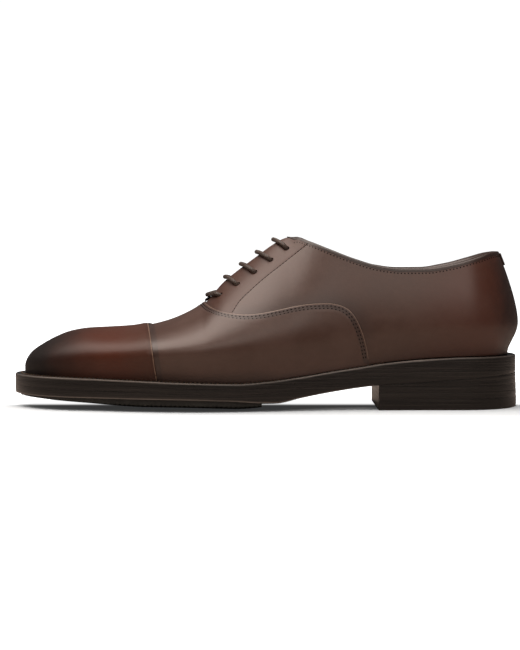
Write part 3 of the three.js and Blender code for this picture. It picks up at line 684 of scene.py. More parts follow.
liningXs = spread(-40, 16, 60) + spread(16, 115, 60)[1:]
quarterLinings = {}
for side in sides:
    word = words[side]
    us = [stationOf(x) for x in liningXs] + spread(1.0, 2.0, 30)
    obj = skin(f"visual_quarter_lining_{word}",
               [(side, [quarterLiningRow(side, u) for u in us], spread(0, 1, 26))],
               lambda p, u, v, s: -3.1 - 1.6 * deep(u), lambda p, u, v, s: -1.75 - 1.2 * deep(u), 0,
               node=f"quarter_lining_{word}")
    cutHoles(obj, side, facingSet["hole"])
    cleanObject(obj)
    quarterLinings[side] = obj

# folded band round the mouth
bandSet = {"ring": [(1.0, -1.1), (1.0, -0.2), (0.86, 0.7), (0.62, 1.3), (0.34, 1.62), (0.15, 1.5),
                    (0.02, 1.0), (0, 0.1),
                    (0, -0.9), (0.3, -1.1)]}


def sweepBar(name, stations, ringAt, node, smooth=60, closed=False):
    rings = [ringAt(station) for station in stations]
    n = len(rings[0])
    verts = [p for r in rings for p in r]
    faces = []
    for i in range(len(rings) - (0 if closed else 1)):
        e = (i + 1) % len(rings)
        for j in range(n):
            k = (j + 1) % n
            faces.append([i * n + j, i * n + k, e * n + k, e * n + j])
    if not closed:
        faces.append(list(range(n))[::-1])
        faces.append([(len(rings) - 1) * n + j for j in range(n)])
    return finish(makeObject(name, verts, faces, smooth), 0.0, "shoe", node)


def mouthRing(station):
    side, u = station
    x = xAt(u)
    grown = lerp(0.12, 1, smoothStep((x - 12.5) / 5))  # the band starts thin at the front corner
    lift = lerp(1.05, 0.25, smoothStep((x - 16) / 10))
    v = vOf(side, u, topline(x) - 1.6 * grown)
    p, n = section(side, u, v), normalAt(side, u, v)
    up = (section(side, u, min(v + 0.01, 1)) - p).normalized()
    deepest = -3.0 - 1.6 * deep(u)
    return [p + n * (deepest * a + 0.08 * (1 - a)) + up * (b * grown + lift) for a, b in bandSet["ring"]]


mouthUs = [stationOf(x) for x in spread(12.6, 30, 30) + spread(30, 115, 60)[1:]] + spread(1.0, 2.0, 34)
mouthStations = [(-1, u) for u in mouthUs] + [(1, u) for u in reversed(mouthUs[:-1])]
band = sweepBar("visual_topline_band", mouthStations, mouthRing, "topline_binding")

# tab at the back seam
tabSet = {"low": 84.5, "high": 91.6, "start": 1.85}
tabRows = [lambda t, u=u: (u, lerp(vOf(1, u, tabSet["low"]), vOf(1, u, tabSet["high"]), t))
           for u in spread(tabSet["start"], 2, 12)]
heelTab = skin("visual_heel_tab", [(s, tabRows, spread(0, 1, 12)) for s in sides], -0.12, 0.85, 0.3,
               node="heel_tab")

# tongue
tongueHalf = curve([(-46, 13), (-20, 14), (0, 13), (8, 9), (17, 5.2)])
tongueDrop = Vector((0.58, 0, -0.81))  # square to the line of the instep
tongueSet = {"n": 16, "rows": 60, "leather": (7.8, 1.4), "lining": (9.3, 1.5)}


def tongueLayer(name, high, thick, node):
    n = tongueSet["n"]
    outer, inner, quads = [], [], []
    xs = spread(-46, 17, tongueSet["rows"])
    for x in xs:
        u = stationOf(x)
        for j in range(-n, n + 1):
            side = -1 if j < 0 else 1
            share = abs(j) / n
            v = 1.0 if j == 0 else vAtWidth(side, u, share * tongueHalf(x))
            p = section(side, u, v)
            flat = 3.2 * (1 - share * share) + max(0, x - 3) * 0.2
            edge = 0.35 * max(0, (share - 0.85) / 0.15)
            outer.append(p + tongueDrop * (high + flat + edge))
            inner.append(p + tongueDrop * (high + flat + thick))
    quads = gridQuads(0, len(xs), 2 * n + 1, False)
    verts, faces = closeShell(outer, inner, quads)
    return finish(makeObject(name, verts, faces), 0.2, "tongue", node)


tongue = tongueLayer("visual_tongue", *tongueSet["leather"], "tongue")
tongueLining = tongueLayer("visual_tongue_lining", *tongueSet["lining"], "tongue_lining")
print("linings, band and tongue made")

# sole: outlines
soleWidth = {
    -1: curve([(-151.6, 39.5), (-105, 42.2), (-90, 46), (-70, 50), (-55, 52), (-40, 52.3), (-20, 50.4),
               (0, 46), (20, 41.2), (40, 37.6), (60, 35.8), (80, 35), (100, 34.7), (116, 34.6)]),
    1: curve([(-151.6, 41), (-105, 44.2), (-90, 48), (-70, 51.4), (-55, 51.6), (-40, 49.4), (-20, 44.5),
              (0, 37.6), (20, 32), (40, 30), (60, 31), (80, 33), (100, 34.3), (116, 34.6)]),
}
soleRound = 46.0


def solePlan(side, t):
    if t > 1:
        phi = (t - 1) * math.pi / 2
        r = shoe["heelRadius"]
        return shoe["heelCentre"] + r * math.sin(phi), side * r * math.cos(phi)
    back = shoe["soleTip"] + soleRound
    if t < split:
        x = shoe["soleTip"] + soleRound * (1 - math.cos(t / split * math.pi / 2))
    else:
        w = (t - split) / (1 - split)
        total = shoe["heelCentre"] - back
        k = soleRound * (math.pi / 2) * (1 - split) / split / total
        x = back + total * (w * k + w * w * (1 - k))
    r = 1.0 if x > back else math.sqrt(max(0.0, 1 - ((back - x) / soleRound) ** 2))
    return x, side * soleWidth[side](x) * r + toeOffset(x)


@lru_cache(maxsize=100000)
def soleEdge(side, u, inset):
    x, y = solePlan(side, u)
    ax, ay = solePlan(side, max(u - 1e-3, 0))
    bx, by = solePlan(side, min(u + 1e-3, 2))
    nx, ny = (by - ay) * side, -(bx - ax) * side
    size = math.hypot(nx, ny)
    nx, ny = nx / size, ny / size
    if u <= 0:
        nx, ny = 1, 0
    if u >= 2:
        nx, ny = -1, 0
    return x + nx * inset, y + ny * inset


def soleU(x):
    return bisect(0, 2, lambda c: soleEdge(-1, c, 0)[0] < x, 40)


outsoleBottom = curve([(-152, 8.3), (-109.7, 7.7), (-57.4, 7.4), (-20, 6.4), (-3, 5.2), (6, 5), (20, 7.6),
                       (38, 10.8), (55.2, 13.4), (66, 14.6), (90, 16.2), (120, 18.4), (151, 20.4)])
belly = curve([(-151.6, 0), (-148.9, 0), (-140, 1.3), (-110, 2.6), (-70, 4), (-20, 4), (0, 3), (30, 1.6),
               (60, 0.4), (66, 0), (151, 0)])
rubberDrop = curve([(-152, 0.9), (-117, 2.3), (-91.5, 3.3), (-70, 3.8), (-20, 3.6), (-2, 2)])
gap = 0.08  # the seam that shows between two plates of the stack


def midTop(x):
    return weltTop(x) - shoe["weltThick"] - 0.25


def midBottom(x):
    return midTop(x) - shoe["midsoleThick"] - 0.2


def slab(name, us, inset, top, bottom, ny=14, bevel=0.3, edge=(0.0,), smooth=30):
    # a plate across the sole; edge lists how far each level of its side stands in, from top to bottom
    verts, faces = [], []
    levels = len(edge)
    for u in us:
        for j in range(ny + 1):
            t = j / ny
            a = abs(2 * t - 1)
            for k in range(levels):
                share = k / (levels - 1) if levels > 1 else 0
                step = inset + edge[k]
                l, r = soleEdge(-1, u, step), soleEdge(1, u, step)
                x, y = lerp(l[0], r[0], t), lerp(l[1], r[1], t)
                verts.append(Vector((x, y, lerp(top(x, a), bottom(x, a), share))))
    rows, cols = len(us), ny + 1

    def at(i, j, k):
        return (i * cols + j) * levels + k
    for i in range(rows - 1):
        for j in range(cols - 1):
            faces.append([at(i, j, 0), at(i, j + 1, 0), at(i + 1, j + 1, 0), at(i + 1, j, 0)])
            faces.append([at(i, j, levels - 1), at(i + 1, j, levels - 1), at(i + 1, j + 1, levels - 1),
                          at(i, j + 1, levels - 1)])
    border = [(i, 0) for i in range(rows)] + [(rows - 1, j) for j in range(1, cols)]
    border += [(i, cols - 1) for i in range(rows - 2, -1, -1)] + [(0, j) for j in range(cols - 2, 0, -1)]
    for (i, j), (p, q) in zip(border, border[1:] + border[:1]):
        for k in range(levels - 1):
            faces.append([at(i, j, k), at(p, q, k), at(p, q, k + 1), at(i, j, k + 1)])
    obj = makeObject(name, verts, faces, smooth)
    return finish(obj, bevel, "shoe", name.replace("visual_", ""))


soleUs = spread(0, 0.3, 40) + spread(0.3, 1, 70)[1:] + spread(1, 2, 44)[1:]


# welt
weltSet = {"inset": 10.4, "stitchInset": 3.6, "stitchEnd": 70}


def weltRing(station):
    side, u = station
    x0 = soleEdge(side, u, 0)[0]
    z = weltTop(x0)
    deepest = shoe["weltThick"] + 0.17
    ring = [(weltSet["inset"], 0), (1.6, 0.02), (0.75, -0.02), (0.3, -0.22), (0.04, -0.7), (0.0, -1.5),
            (0.0, -deepest),
            (weltSet["inset"], -deepest)]
    return [Vector((*soleEdge(side, u, a), z + b)) for a, b in ring]


weltUs = spread(0, 0.3, 90) + spread(0.3, 1, 200)[1:] + spread(1, 2, 110)[1:]
weltStations = [(-1, u) for u in weltUs] + [(1, u) for u in reversed(weltUs[1:-1])]
welt = sweepBar("visual_welt", weltStations, weltRing, "welt", 32, True)

midsole = slab("visual_midsole", soleUs, 0.05, lambda x, a: midTop(x), lambda x, a: midBottom(x), 10, 0.1,
               (0.04, 0.0, 0.0, 0.04))


def outsoleLow(x, a):
    return outsoleBottom(x) - belly(x) * (1 - a * a)


outsole = slab("visual_outsole", soleUs, 0.0, lambda x, a: midBottom(x) - gap, outsoleLow, 24, 0.35,
               (0.04, 0.0, 0.0, 0.3))

# rubber half sole, with tread bars cut across it
rubberSet = {"inset": 2.2, "pitch": 2.7, "bite": 0.55}


def rubberLow(x, a):
    z = outsoleBottom(x) - belly(x) * (1 - a * a) - rubberDrop(x)
    wave = abs((x / rubberSet["pitch"] + 6 * a * a) % 1 - 0.5) * 2
    bar = 1 if wave > 0.42 else 0
    near = clamp((a - 0.3) / 0.2, 0, 1)
    return max(0.0, z + rubberSet["bite"] * (1 - bar) * near)


rubberUs = [soleU(x) for x in spread(-149.3, shoe["rubberEnd"], 260)]
rubber = slab("visual_rubber_forepart", [0.0] + [u for u in rubberUs if u > 0.01], rubberSet["inset"],
              lambda x, a: outsoleBottom(x) - belly(x) * (1 - a * a) + 0.05, rubberLow, 28, 0.0,
              (0.0, 0.0, 0.2))

# heel
liftTop = curve([(66, 10.9), (151, 10.4)])


def heelUs(x0):
    return spread(soleU(x0), 2, 70)


def lift(name, x0, inset, top, bottom, edge=(0.06, 0.0, 0.0, 0.06), bevel=0.12):
    return slab(f"visual_{name}", heelUs(x0), inset, lambda x, a: top(x), lambda x, a: bottom(x), 8,
                bevel, edge)


topThick = shoe["topPieceThick"]
topPiece = lift("heel_top_piece", shoe["breast"], -0.6, lambda x: topThick, lambda x: 0.0,
                (0.1, 0.0, 0.0, 0.25), 0.3)
lift1 = lift("heel_lift_1", shoe["breast"], -0.45, liftTop, lambda x: topThick + gap)
lift2 = lift("heel_lift_2", shoe["breast"], -0.3, lambda x: 14.2 if x > 80 else outsoleBottom(x) - gap,
             lambda x: liftTop(x) + gap)
lift3 = lift("heel_lift_3", 80, -0.15, lambda x: 17.0 if x > 116 else outsoleBottom(x) - gap,
             lambda x: 14.2 + gap)
lift4 = lift("heel_lift_4", 116, -0.05, lambda x: outsoleBottom(x) - gap, lambda x: 17.0 + gap)

# sock lining
sockInset = curve([(-152, 10.4), (-105, 8.4), (-40, 8.2), (20, 7.6), (70, 8.7), (116, 10.0), (151, 10.0)])


def sockSlab():
    us = spread(0, 2, 110)
    verts = []
    n = 16
    for layer in (4.35, 3.1):
        for u in us:
            x0 = soleEdge(-1, u, 0)[0]
            l, r = soleEdge(-1, u, sockInset(x0)), soleEdge(1, u, sockInset(x0))
            for j in range(n + 1):
                x, y = lerp(l[0], r[0], j / n), lerp(l[1], r[1], j / n)
                verts.append(Vector((x, y, weltTop(x) + layer)))
    size = len(us) * (n + 1)
    top = verts[:size]
    low = verts[size:]
    v, f = closeShell(top, low, gridQuads(0, len(us), n + 1, False))
    return finish(makeObject("visual_sock_lining", v, f), 0.3, "shoe", "sock_lining")


sockLining = sockSlab()
print("sole and heel made")

# stitches: one small thread loop, copied along each row
stitchSet = {"rings": ((-0.5, 0.0), (-0.4, 0.75), (-0.15, 1.0), (0.15, 1.0), (0.4, 0.75), (0.5, 0.0)),
             "around": 6}


def stitchRow(name, points, pitch, length, radius):
    # points: (place, normal) along the row; the threads lie in the surface
    fine = [0.0]
    for (a, _), (b, _) in zip(points, points[1:]):
        fine.append(fine[-1] + (b - a).length)
    count = max(1, int(fine[-1] / pitch))
    verts, faces = [], []
    i = 0
    for s in range(count):
        d = (s + 0.5) * fine[-1] / count
        while i < len(fine) - 2 and fine[i + 1] < d:
            i += 1
        t = (d - fine[i]) / max(fine[i + 1] - fine[i], 1e-6)
        p = points[i][0].lerp(points[i + 1][0], t)
        n = points[i][1].lerp(points[i + 1][1], t).normalized()
        way = (points[i + 1][0] - points[i][0]).normalized()
        side = n.cross(way)
        base = len(verts)
        k = stitchSet["around"]
        for along, r in stitchSet["rings"]:
            sink = -radius * 0.9 * (abs(along) * 2) ** 3
            for q in range(k):
                phi = 2 * math.pi * q / k
                verts.append(p + way * (along * length) + n * (sink + radius * 0.85 * r * math.sin(phi))
                             + side * (radius * r * math.cos(phi)))
        for m in range(len(stitchSet["rings"]) - 1):
            for q in range(k):
                a, b = base + m * k + q, base + m * k + (q + 1) % k
                faces.append([a, b, b + k, a + k])
    obj = makeObject(name, verts, faces, 80, 0.0005)
    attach(obj, "shoe")
    return obj


def onSkin(side, places, high):
    return [(section(side, u, v) + normalAt(side, u, v) * high, normalAt(side, u, v)) for u, v in places]


threads = []
threadSet = {"vamp": (2.35, 1.6, 0.4), "facing": (2.3, 1.4, 0.26), "mouth": (2.05, 1.3, 0.42),
             "welt": (2.6, 1.9, 0.42)}
for side in sides:
    word = words[side]
    for k, inset in enumerate(vampSet["rows"]):
        row = onSkin(side, edgePath(side, vampEdges[side], inset), 0.9)
        threads.append(stitchRow(f"stitches_vamp_{word}_{k + 1}", row, *threadSet["vamp"]))
    row = onSkin(side, facingPlaces(side, 0.0), -0.2)
    threads.append(stitchRow(f"stitches_facing_{word}", row, *threadSet["facing"]))
    places = [(u, vOf(side, u, topline(xAt(u)) - 3.1)) for u in mouthUs if xAt(u) > 15.5]
    threads.append(stitchRow(f"stitches_mouth_{word}", onSkin(side, places, -0.2), *threadSet["mouth"]))
    row = [(Vector((*soleEdge(side, u, weltSet["stitchInset"]), weltTop(soleEdge(side, u, 0)[0]) + 0.1)),
            Vector((0, 0, 1))) for u in spread(0.0, soleU(weltSet["stitchEnd"]), 200)]
    threads.append(stitchRow(f"stitches_welt_{word}", row, *threadSet["welt"]))

# bar tack at the foot of the lace gap
tackSet = {"middle": (-35.1, 0.2, 64.5), "half": 3.3, "turns": 9, "radius": 0.42}


def makeTack(t):
    middle = Vector(t["middle"])
    objs = []
    for i in range(t["turns"]):
        x = middle.x + (i - (t["turns"] - 1) / 2) * 0.36
        z = middle.z + (x - middle.x) * 0.75
        bpy.ops.object.select_all(action="DESELECT")
        bpy.ops.mesh.primitive_torus_add(major_radius=t["half"] * mm * 0.36,
                                         minor_radius=t["radius"] * mm * 0.62,
                                         major_segments=20, minor_segments=8,
                                         location=place((x, middle.y, z)),
                                         rotation=(math.pi / 2, 0, math.pi / 2))
        o = bpy.context.object
        bpy.ops.object.mode_set(mode="EDIT")
        bpy.ops.mesh.select_all(action="SELECT")
        bpy.ops.transform.resize(value=(1, 2.0, 0.62), center_override=place((x, middle.y, z)))
        bpy.ops.object.mode_set(mode="OBJECT")
        objs.append(o)
    bpy.ops.object.select_all(action="DESELECT")
    for o in objs:
        o.select_set(True)
    bpy.context.view_layer.objects.active = objs[0]
    bpy.ops.object.join()
    o = bpy.context.object
    bpy.ops.object.transform_apply(location=True, rotation=True, scale=True)
    o.name = "visual_throat_tack"
    cleanObject(o, 80)
    return finish(o, 0, "shoe", "throat_tack")


tack = makeTack(tackSet)
threads.append(tack)
print("stitches made")

# lace: the same route as the solids', as one tube from end to end
laceSet = {"out": 1.35, "in": -4.7, "around": 16, "step": 0.55, "tag": 18.0}


def lacePoint(side, x, width, depth):
    u = stationOf(x)
    v = 1.0 if width < 0.5 else vAtWidth(side, u, width)
    n = normalAt(side, u, v)
    if width < 0.5:
        n.y = 0
    return section(side, u, v) + n.normalized() * depth


def widthAt(side, x, z):
    u = stationOf(x)
    return abs(section(side, u, vOf(side, u, z)).y - toeOffset(x))


def laceRoute():
    out, deepLace = laceSet["out"], laceSet["in"]
    pts = []
    for i, (x, z) in enumerate(eyelets):
        w = {s: widthAt(s, x, z) for s in sides}
        if i:
            back, backZ = eyelets[i - 1]
            pts.append(lacePoint(1, lerp(back, x, 0.3), widthAt(1, back, backZ) * 0.6, deepLace - 0.1))
            pts.append(lacePoint(-1, lerp(back, x, 0.7), w[-1] * 0.6, deepLace - 0.1))
            pts.append(lacePoint(-1, x, w[-1] - 0.1, deepLace))
        toe = x + laceApex[i]
        pts.append(lacePoint(-1, x, w[-1], -1.6))
        pts.append(lacePoint(-1, x - 1.2, w[-1] - 1.2, out))
        pts.append(lacePoint(-1, lerp(x, toe, 0.72), w[-1] * 0.4, out + 0.2))
        pts.append(lacePoint(-1, toe, 0, out + (0.3 if i else 0.9)))
        pts.append(lacePoint(1, lerp(x, toe, 0.72), w[1] * 0.4, out + 0.2))
        pts.append(lacePoint(1, x - 1.2, w[1] - 1.2, out))
        pts.append(lacePoint(1, x, w[1], -1.6))
        if i < len(eyelets) - 1:
            pts.append(lacePoint(1, x, w[1] - 0.1, deepLace))
    return pts


def onSock(rows):
    high = shoe["insoleThick"] + 1 + shoe["laceDiameter"] / 2 + 0.55
    return [Vector((x, y, z or weltTop(x) + high)) for x, y, z in rows]


def laceTails():
    deepLace = laceSet["in"]
    lowX, lowZ = eyelets[0]
    topX = eyelets[4][0]
    lateral = [lacePoint(-1, lowX + 0.6, widthAt(-1, lowX, lowZ) + 1.4, deepLace - 0.4)]
    lateral += [lacePoint(-1, x, 18.6 - max(0, x) * 0.12, deepLace - 0.1) for x in (-20, -10, 0, 9, 16)]
    lateral += [lacePoint(-1, 21.5, widthAt(-1, 21.5, 89), deepLace - 0.4)]
    lateral += onSock([(27, -14.5, 78), (31, -17, 62), (34, -18.5, 46), (39, -18, 33.5), (47, -17, 0),
                       (56, -16.5, 0),
                       (66, -16.5, 0), (74, -16.5, 0)])
    medial = [lacePoint(1, topX + 0.4, widthAt(1, topX, 94.4), deepLace - 0.1),
              lacePoint(1, 18, widthAt(1, 18, 93), deepLace - 0.3),
              lacePoint(1, 22.5, widthAt(1, 22.5, 88), deepLace - 0.3)]
    medial += onSock([(27.5, 12, 78), (31, 14.5, 64), (34, 17.5, 47), (39, 17, 34), (47, 16.4, 0),
                      (58, 16, 0), (70, 16, 0),
                      (82, 16, 0), (93, 15.5, 0)])
    return lateral[::-1], medial


def smoothPath(points, step):
    # centripetal Catmull-Rom through the points, then even steps
    ext = [points[0] * 2 - points[1]] + points + [points[-1] * 2 - points[-2]]
    fine = []
    for i in range(1, len(ext) - 2):
        p0, p1, p2, p3 = ext[i - 1:i + 3]
        t0 = 0.0
        t1 = t0 + math.sqrt((p1 - p0).length)
        t2 = t1 + math.sqrt((p2 - p1).length)
        t3 = t2 + math.sqrt((p3 - p2).length)
        n = 24
        for k in range(n):
            t = lerp(t1, t2, k / n)
            a1 = p0 * ((t1 - t) / (t1 - t0)) + p1 * ((t - t0) / (t1 - t0))
            a2 = p1 * ((t2 - t) / (t2 - t1)) + p2 * ((t - t1) / (t2 - t1))
            a3 = p2 * ((t3 - t) / (t3 - t2)) + p3 * ((t - t2) / (t3 - t2))
            b1 = a1 * ((t2 - t) / (t2 - t0)) + a2 * ((t - t0) / (t2 - t0))
            b2 = a2 * ((t3 - t) / (t3 - t1)) + a3 * ((t - t1) / (t3 - t1))
            fine.append(b1 * ((t2 - t) / (t2 - t1)) + b2 * ((t - t1) / (t2 - t1)))
    fine.append(points[-1])
    run = [0.0]
    for a, b in zip(fine, fine[1:]):
        run.append(run[-1] + (b - a).length)
    count = int(run[-1] / step)
    out, i = [], 0
    for k in range(count + 1):
        d = run[-1] * k / count
        while i < len(run) - 2 and run[i + 1] < d:
            i += 1
        out.append(fine[i].lerp(fine[i + 1], (d - run[i]) / max(run[i + 1] - run[i], 1e-9)))
    return out, run[-1]


def tubeAlong(name, path, radiusAt, around, lengthMm, smooth=80):
    # rings carried along the path without twist; the UV map holds millimetres along and the share round
    verts, faces, uvs = [], [], []
    n = Vector((0, 0, 1))
    total = len(path) - 1
    for i, p in enumerate(path):
        way = (path[min(i + 1, total)] - path[max(i - 1, 0)]).normalized()
        n = (n - way * n.dot(way)).normalized()
        b = way.cross(n)
        r = radiusAt(i / total)
        for k in range(around):
            phi = 2 * math.pi * k / around
            verts.append(p + n * (r * math.cos(phi)) + b * (r * math.sin(phi)))
    for i in range(total):
        for k in range(around):
            a, c = i * around + k, i * around + (k + 1) % around
            faces.append([a, a + around, c + around, c])
            u0, u1 = i / total * lengthMm, (i + 1) / total * lengthMm
            v0, v1 = k / around, (k + 1) / around
            uvs += [(u0, v0), (u1, v0), (u1, v1), (u0, v1)]
    faces.append(list(range(around)))
    faces.append([total * around + k for k in reversed(range(around))])
    uvs += [(0, k / around) for k in range(around)] * 2
    mesh = bpy.data.meshes.new(name)
    mesh.from_pydata([place(p) for p in verts], [], faces)
    layer = mesh.uv_layers.new(name="along")
    for k, uv in enumerate(uvs):
        layer.data[k].uv = uv
    obj = bpy.data.objects.new(name, mesh)
    bpy.context.scene.collection.objects.link(obj)
    cleanObject(obj, smooth)
    return obj


route = laceRoute()
tailStart, tailEnd = laceTails()
lacePath, laceLength = smoothPath(tailStart + route + tailEnd, laceSet["step"])
laceRadius = shoe["laceDiameter"] / 2
lace = tubeAlong("visual_lace", lacePath, lambda t: laceRadius, laceSet["around"], laceLength)
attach(lace, "shoe")
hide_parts("lace", "lace_end_lateral", "lace_end_medial")


def makeTag(name, end, way, node):
    # a lace tip: a tube pinched at its mouth and rounded at its point
    steps = [(-1.5, 1.2), (-1.4, 1.44), (0.2, 1.46), (0.8, 1.38), (1.6, 1.36), (9, 1.33), (15.5, 1.3),
             (17.6, 1.26),
             (18.2, 1.05), (18.4, 0.6)]
    path = [end + way * a for a, _ in steps]
    radii = [r for _, r in steps]
    obj = tubeAlong(name, path, lambda t: radii[round(t * (len(steps) - 1))], 20, laceSet["tag"], 40)
    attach(obj, "shoe")
    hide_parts(node)
    return obj


tagLateral = makeTag("visual_aglet_lateral", lacePath[0], (lacePath[0] - lacePath[3]).normalized(),
                     "aglet_lateral")
tagMedial = makeTag("visual_aglet_medial", lacePath[-1], (lacePath[-1] - lacePath[-4]).normalized(),
                    "aglet_medial")
print("lace made:", round(laceLength, 1), "mm")

# materials


def node(tree, kind, inputs=None, **props):
    n = tree.nodes.new(kind)
    for key, value in props.items():
        setattr(n, key, value)
    for key, value in (inputs or {}).items():
        if isinstance(value, bpy.types.NodeSocket):
            tree.links.new(value, n.inputs[key])
        else:
            n.inputs[key].default_value = value
    return n


def calc(tree, op, a, b=0.0, c=0.0, clampIt=False):
    n = node(tree, "ShaderNodeMath", {0: a, 1: b, 2: c}, operation=op, use_clamp=clampIt)
    return n.outputs[0]


def ramp(tree, value, low, high, outLow=0.0, outHigh=1.0):
    n = node(tree, "ShaderNodeMapRange", {"Value": value, "From Min": low, "From Max": high, "To Min": outLow,
                                          "To Max": outHigh}, interpolation_type="SMOOTHSTEP")
    return n.outputs["Result"]


def mixColor(tree, factor, a, b, kind="MIX"):
    n = node(tree, "ShaderNodeMix", {0: factor, 6: a, 7: b}, data_type="RGBA", blend_type=kind)
    return n.outputs[2]


def objectPoint(tree, scale=(1, 1, 1)):
    where = node(tree, "ShaderNodeTexCoord").outputs["Object"]
    return node(tree, "ShaderNodeMapping", {"Vector": where, "Scale": scale}).outputs["Vector"]


def noise(tree, vector, scale, detail=3.0, rough=0.5):
    n = node(tree, "ShaderNodeTexNoise",
             {"Vector": vector, "Scale": scale, "Detail": detail, "Roughness": rough})
    return n.outputs["Fac"]


def newGroup(name, inputs, outputs):
    group = bpy.data.node_groups.new(name, "ShaderNodeTree")
    for label, kind, value in inputs:
        s = group.interface.new_socket(label, in_out="INPUT", socket_type=kind)
        s.default_value = value
    for label, kind in outputs:
        group.interface.new_socket(label, in_out="OUTPUT", socket_type=kind)
    return group, group.nodes.new("NodeGroupInput"), group.nodes.new("NodeGroupOutput")


def buildGrain():
    # fine pores and long soft creases: a height and a patchy value
    g, i, o = newGroup("grain", [("Pore", "NodeSocketFloat", 900.0), ("Depth", "NodeSocketFloat", 1.0)],
                       [("Height", "NodeSocketFloat"), ("Patch", "NodeSocketFloat")])
    p = objectPoint(g)
    cells = node(g, "ShaderNodeTexVoronoi", {"Vector": p, "Scale": i.outputs["Pore"]}, feature="SMOOTH_F1")
    pores = calc(g, "MULTIPLY", cells.outputs["Distance"], i.outputs["Depth"])
    soft = noise(g, p, 260.0, 4.0, 0.6)
    broad = noise(g, p, 38.0, 3.0, 0.55)
    height = calc(g, "ADD", calc(g, "MULTIPLY", pores, 0.35), calc(g, "MULTIPLY", soft, 0.5))
    g.links.new(height, o.inputs["Height"])
    patch = calc(g, "ADD", calc(g, "MULTIPLY", broad, 0.7), calc(g, "MULTIPLY", soft, 0.3))
    g.links.new(patch, o.inputs["Patch"])
    return g


def buildBurnishAndShade():
    # where the shoe is darker: its toe and its back, which are hand-polished, and just above the welt, where
    # the darkening is painted shade
    g, i, o = newGroup("burnishAndShade", [("Toe", "NodeSocketFloat", -0.127), ("Heel", "NodeSocketFloat", 0.130)],
                       [("BurnishAndShade", "NodeSocketFloat"), ("Red", "NodeSocketFloat")])
    p = objectPoint(g)
    xyz = node(g, "ShaderNodeSeparateXYZ", {0: p})
    x, z = xyz.outputs["X"], xyz.outputs["Z"]
    wobble = calc(g, "MULTIPLY", calc(g, "SUBTRACT", noise(g, p, 30.0, 3.0, 0.6), 0.5), 0.03)
    xw = calc(g, "ADD", x, wobble)
    toe = ramp(g, xw, calc(g, "ADD", i.outputs["Toe"], -0.010), calc(g, "ADD", i.outputs["Toe"], 0.036),
               1.0, 0.0)
    heel = ramp(g, xw, i.outputs["Heel"], calc(g, "ADD", i.outputs["Heel"], 0.016))
    # painted shade in the lowest band of the upper, just above the welt
    foot = ramp(g, calc(g, "ADD", z, calc(g, "MULTIPLY", wobble, 0.3)), 0.018, 0.026, 0.35, 0.0)
    dark = calc(g, "MAXIMUM", calc(g, "MAXIMUM", toe, calc(g, "MULTIPLY", heel, 0.7)), foot, 0.0, True)
    g.links.new(dark, o.inputs["BurnishAndShade"])
    back = ramp(g, xw, 0.070, 0.125)
    front = ramp(g, xw, -0.098, -0.066, 1.0, 0.0)
    g.links.new(calc(g, "MAXIMUM", back, front), o.inputs["Red"])
    return g


def buildSeam():
    # a thin line on a cut edge, coloured as wear with a painted glint or as a painted shadow line, and
    # painted shade in the crease beside it and along the stitch rows, from the distance attribute
    g, i, o = newGroup("seamShade", [("EdgeWidth", "NodeSocketFloat", 0.45), ("Reach", "NodeSocketFloat", 2.6)],
                       [("Edge", "NodeSocketFloat"), ("CreaseShade", "NodeSocketFloat"),
                        ("Rows", "NodeSocketFloat")])
    d = node(g, "ShaderNodeAttribute", attribute_name="seam").outputs["Fac"]
    g.links.new(ramp(g, d, 0.1, i.outputs["EdgeWidth"], 1.0, 0.0), o.inputs["Edge"])
    g.links.new(ramp(g, d, 0.5, i.outputs["Reach"], 1.0, 0.0), o.inputs["CreaseShade"])
    # painted shade along the two stitch rows
    between = calc(g, "ABSOLUTE", calc(g, "SUBTRACT", d, 2.3))
    g.links.new(ramp(g, between, 0.9, 1.6, 1.0, 0.0), o.inputs["Rows"])
    return g


grainGroup = buildGrain()
burnishAndShadeGroup = buildBurnishAndShade()
seamGroup = buildSeam()


def newMaterial(name):
    m = bpy.data.materials.new(name)
    m.use_nodes = True
    t = m.node_tree
    t.nodes.clear()
    shader = t.nodes.new("ShaderNodeBsdfPrincipled")
    out = t.nodes.new("ShaderNodeOutputMaterial")
    t.links.new(shader.outputs[0], out.inputs[0])
    return m, t, shader


def useGroup(tree, group, inputs=None):
    n = node(tree, "ShaderNodeGroup", node_tree=group)
    for key, value in (inputs or {}).items():
        n.inputs[key].default_value = value
    return n.outputs


def bump(tree, height, strength, distance):
    return node(tree, "ShaderNodeBump",
                {"Height": height, "Strength": strength, "Distance": distance}).outputs[0]


def wire(tree, shader, color, rough, normal):
    for label, value in (("Base Color", color), ("Roughness", rough), ("Normal", normal)):
        tree.links.new(value, shader.inputs[label])


# the edge colour is partly wear and partly painted glint; shade is painted shade; line is a painted shadow
# line beside the vamp's edge
calfSet = {
    "mid": (0.057, 0.0245, 0.0150, 1), "light": (0.074, 0.037, 0.026, 1), "red": (0.074, 0.0195, 0.0095, 1),
    "dark": (0.0055, 0.0038, 0.0034, 1), "shade": (0.024, 0.011, 0.0075, 1), "wornGlint": (0.34, 0.23, 0.17, 1),
    "line": (0.004, 0.0025, 0.002, 1),
    "roughness": (0.38, 0.50), "coat": 0.3, "coatRoughness": 0.31, "bump": 0.12,
}


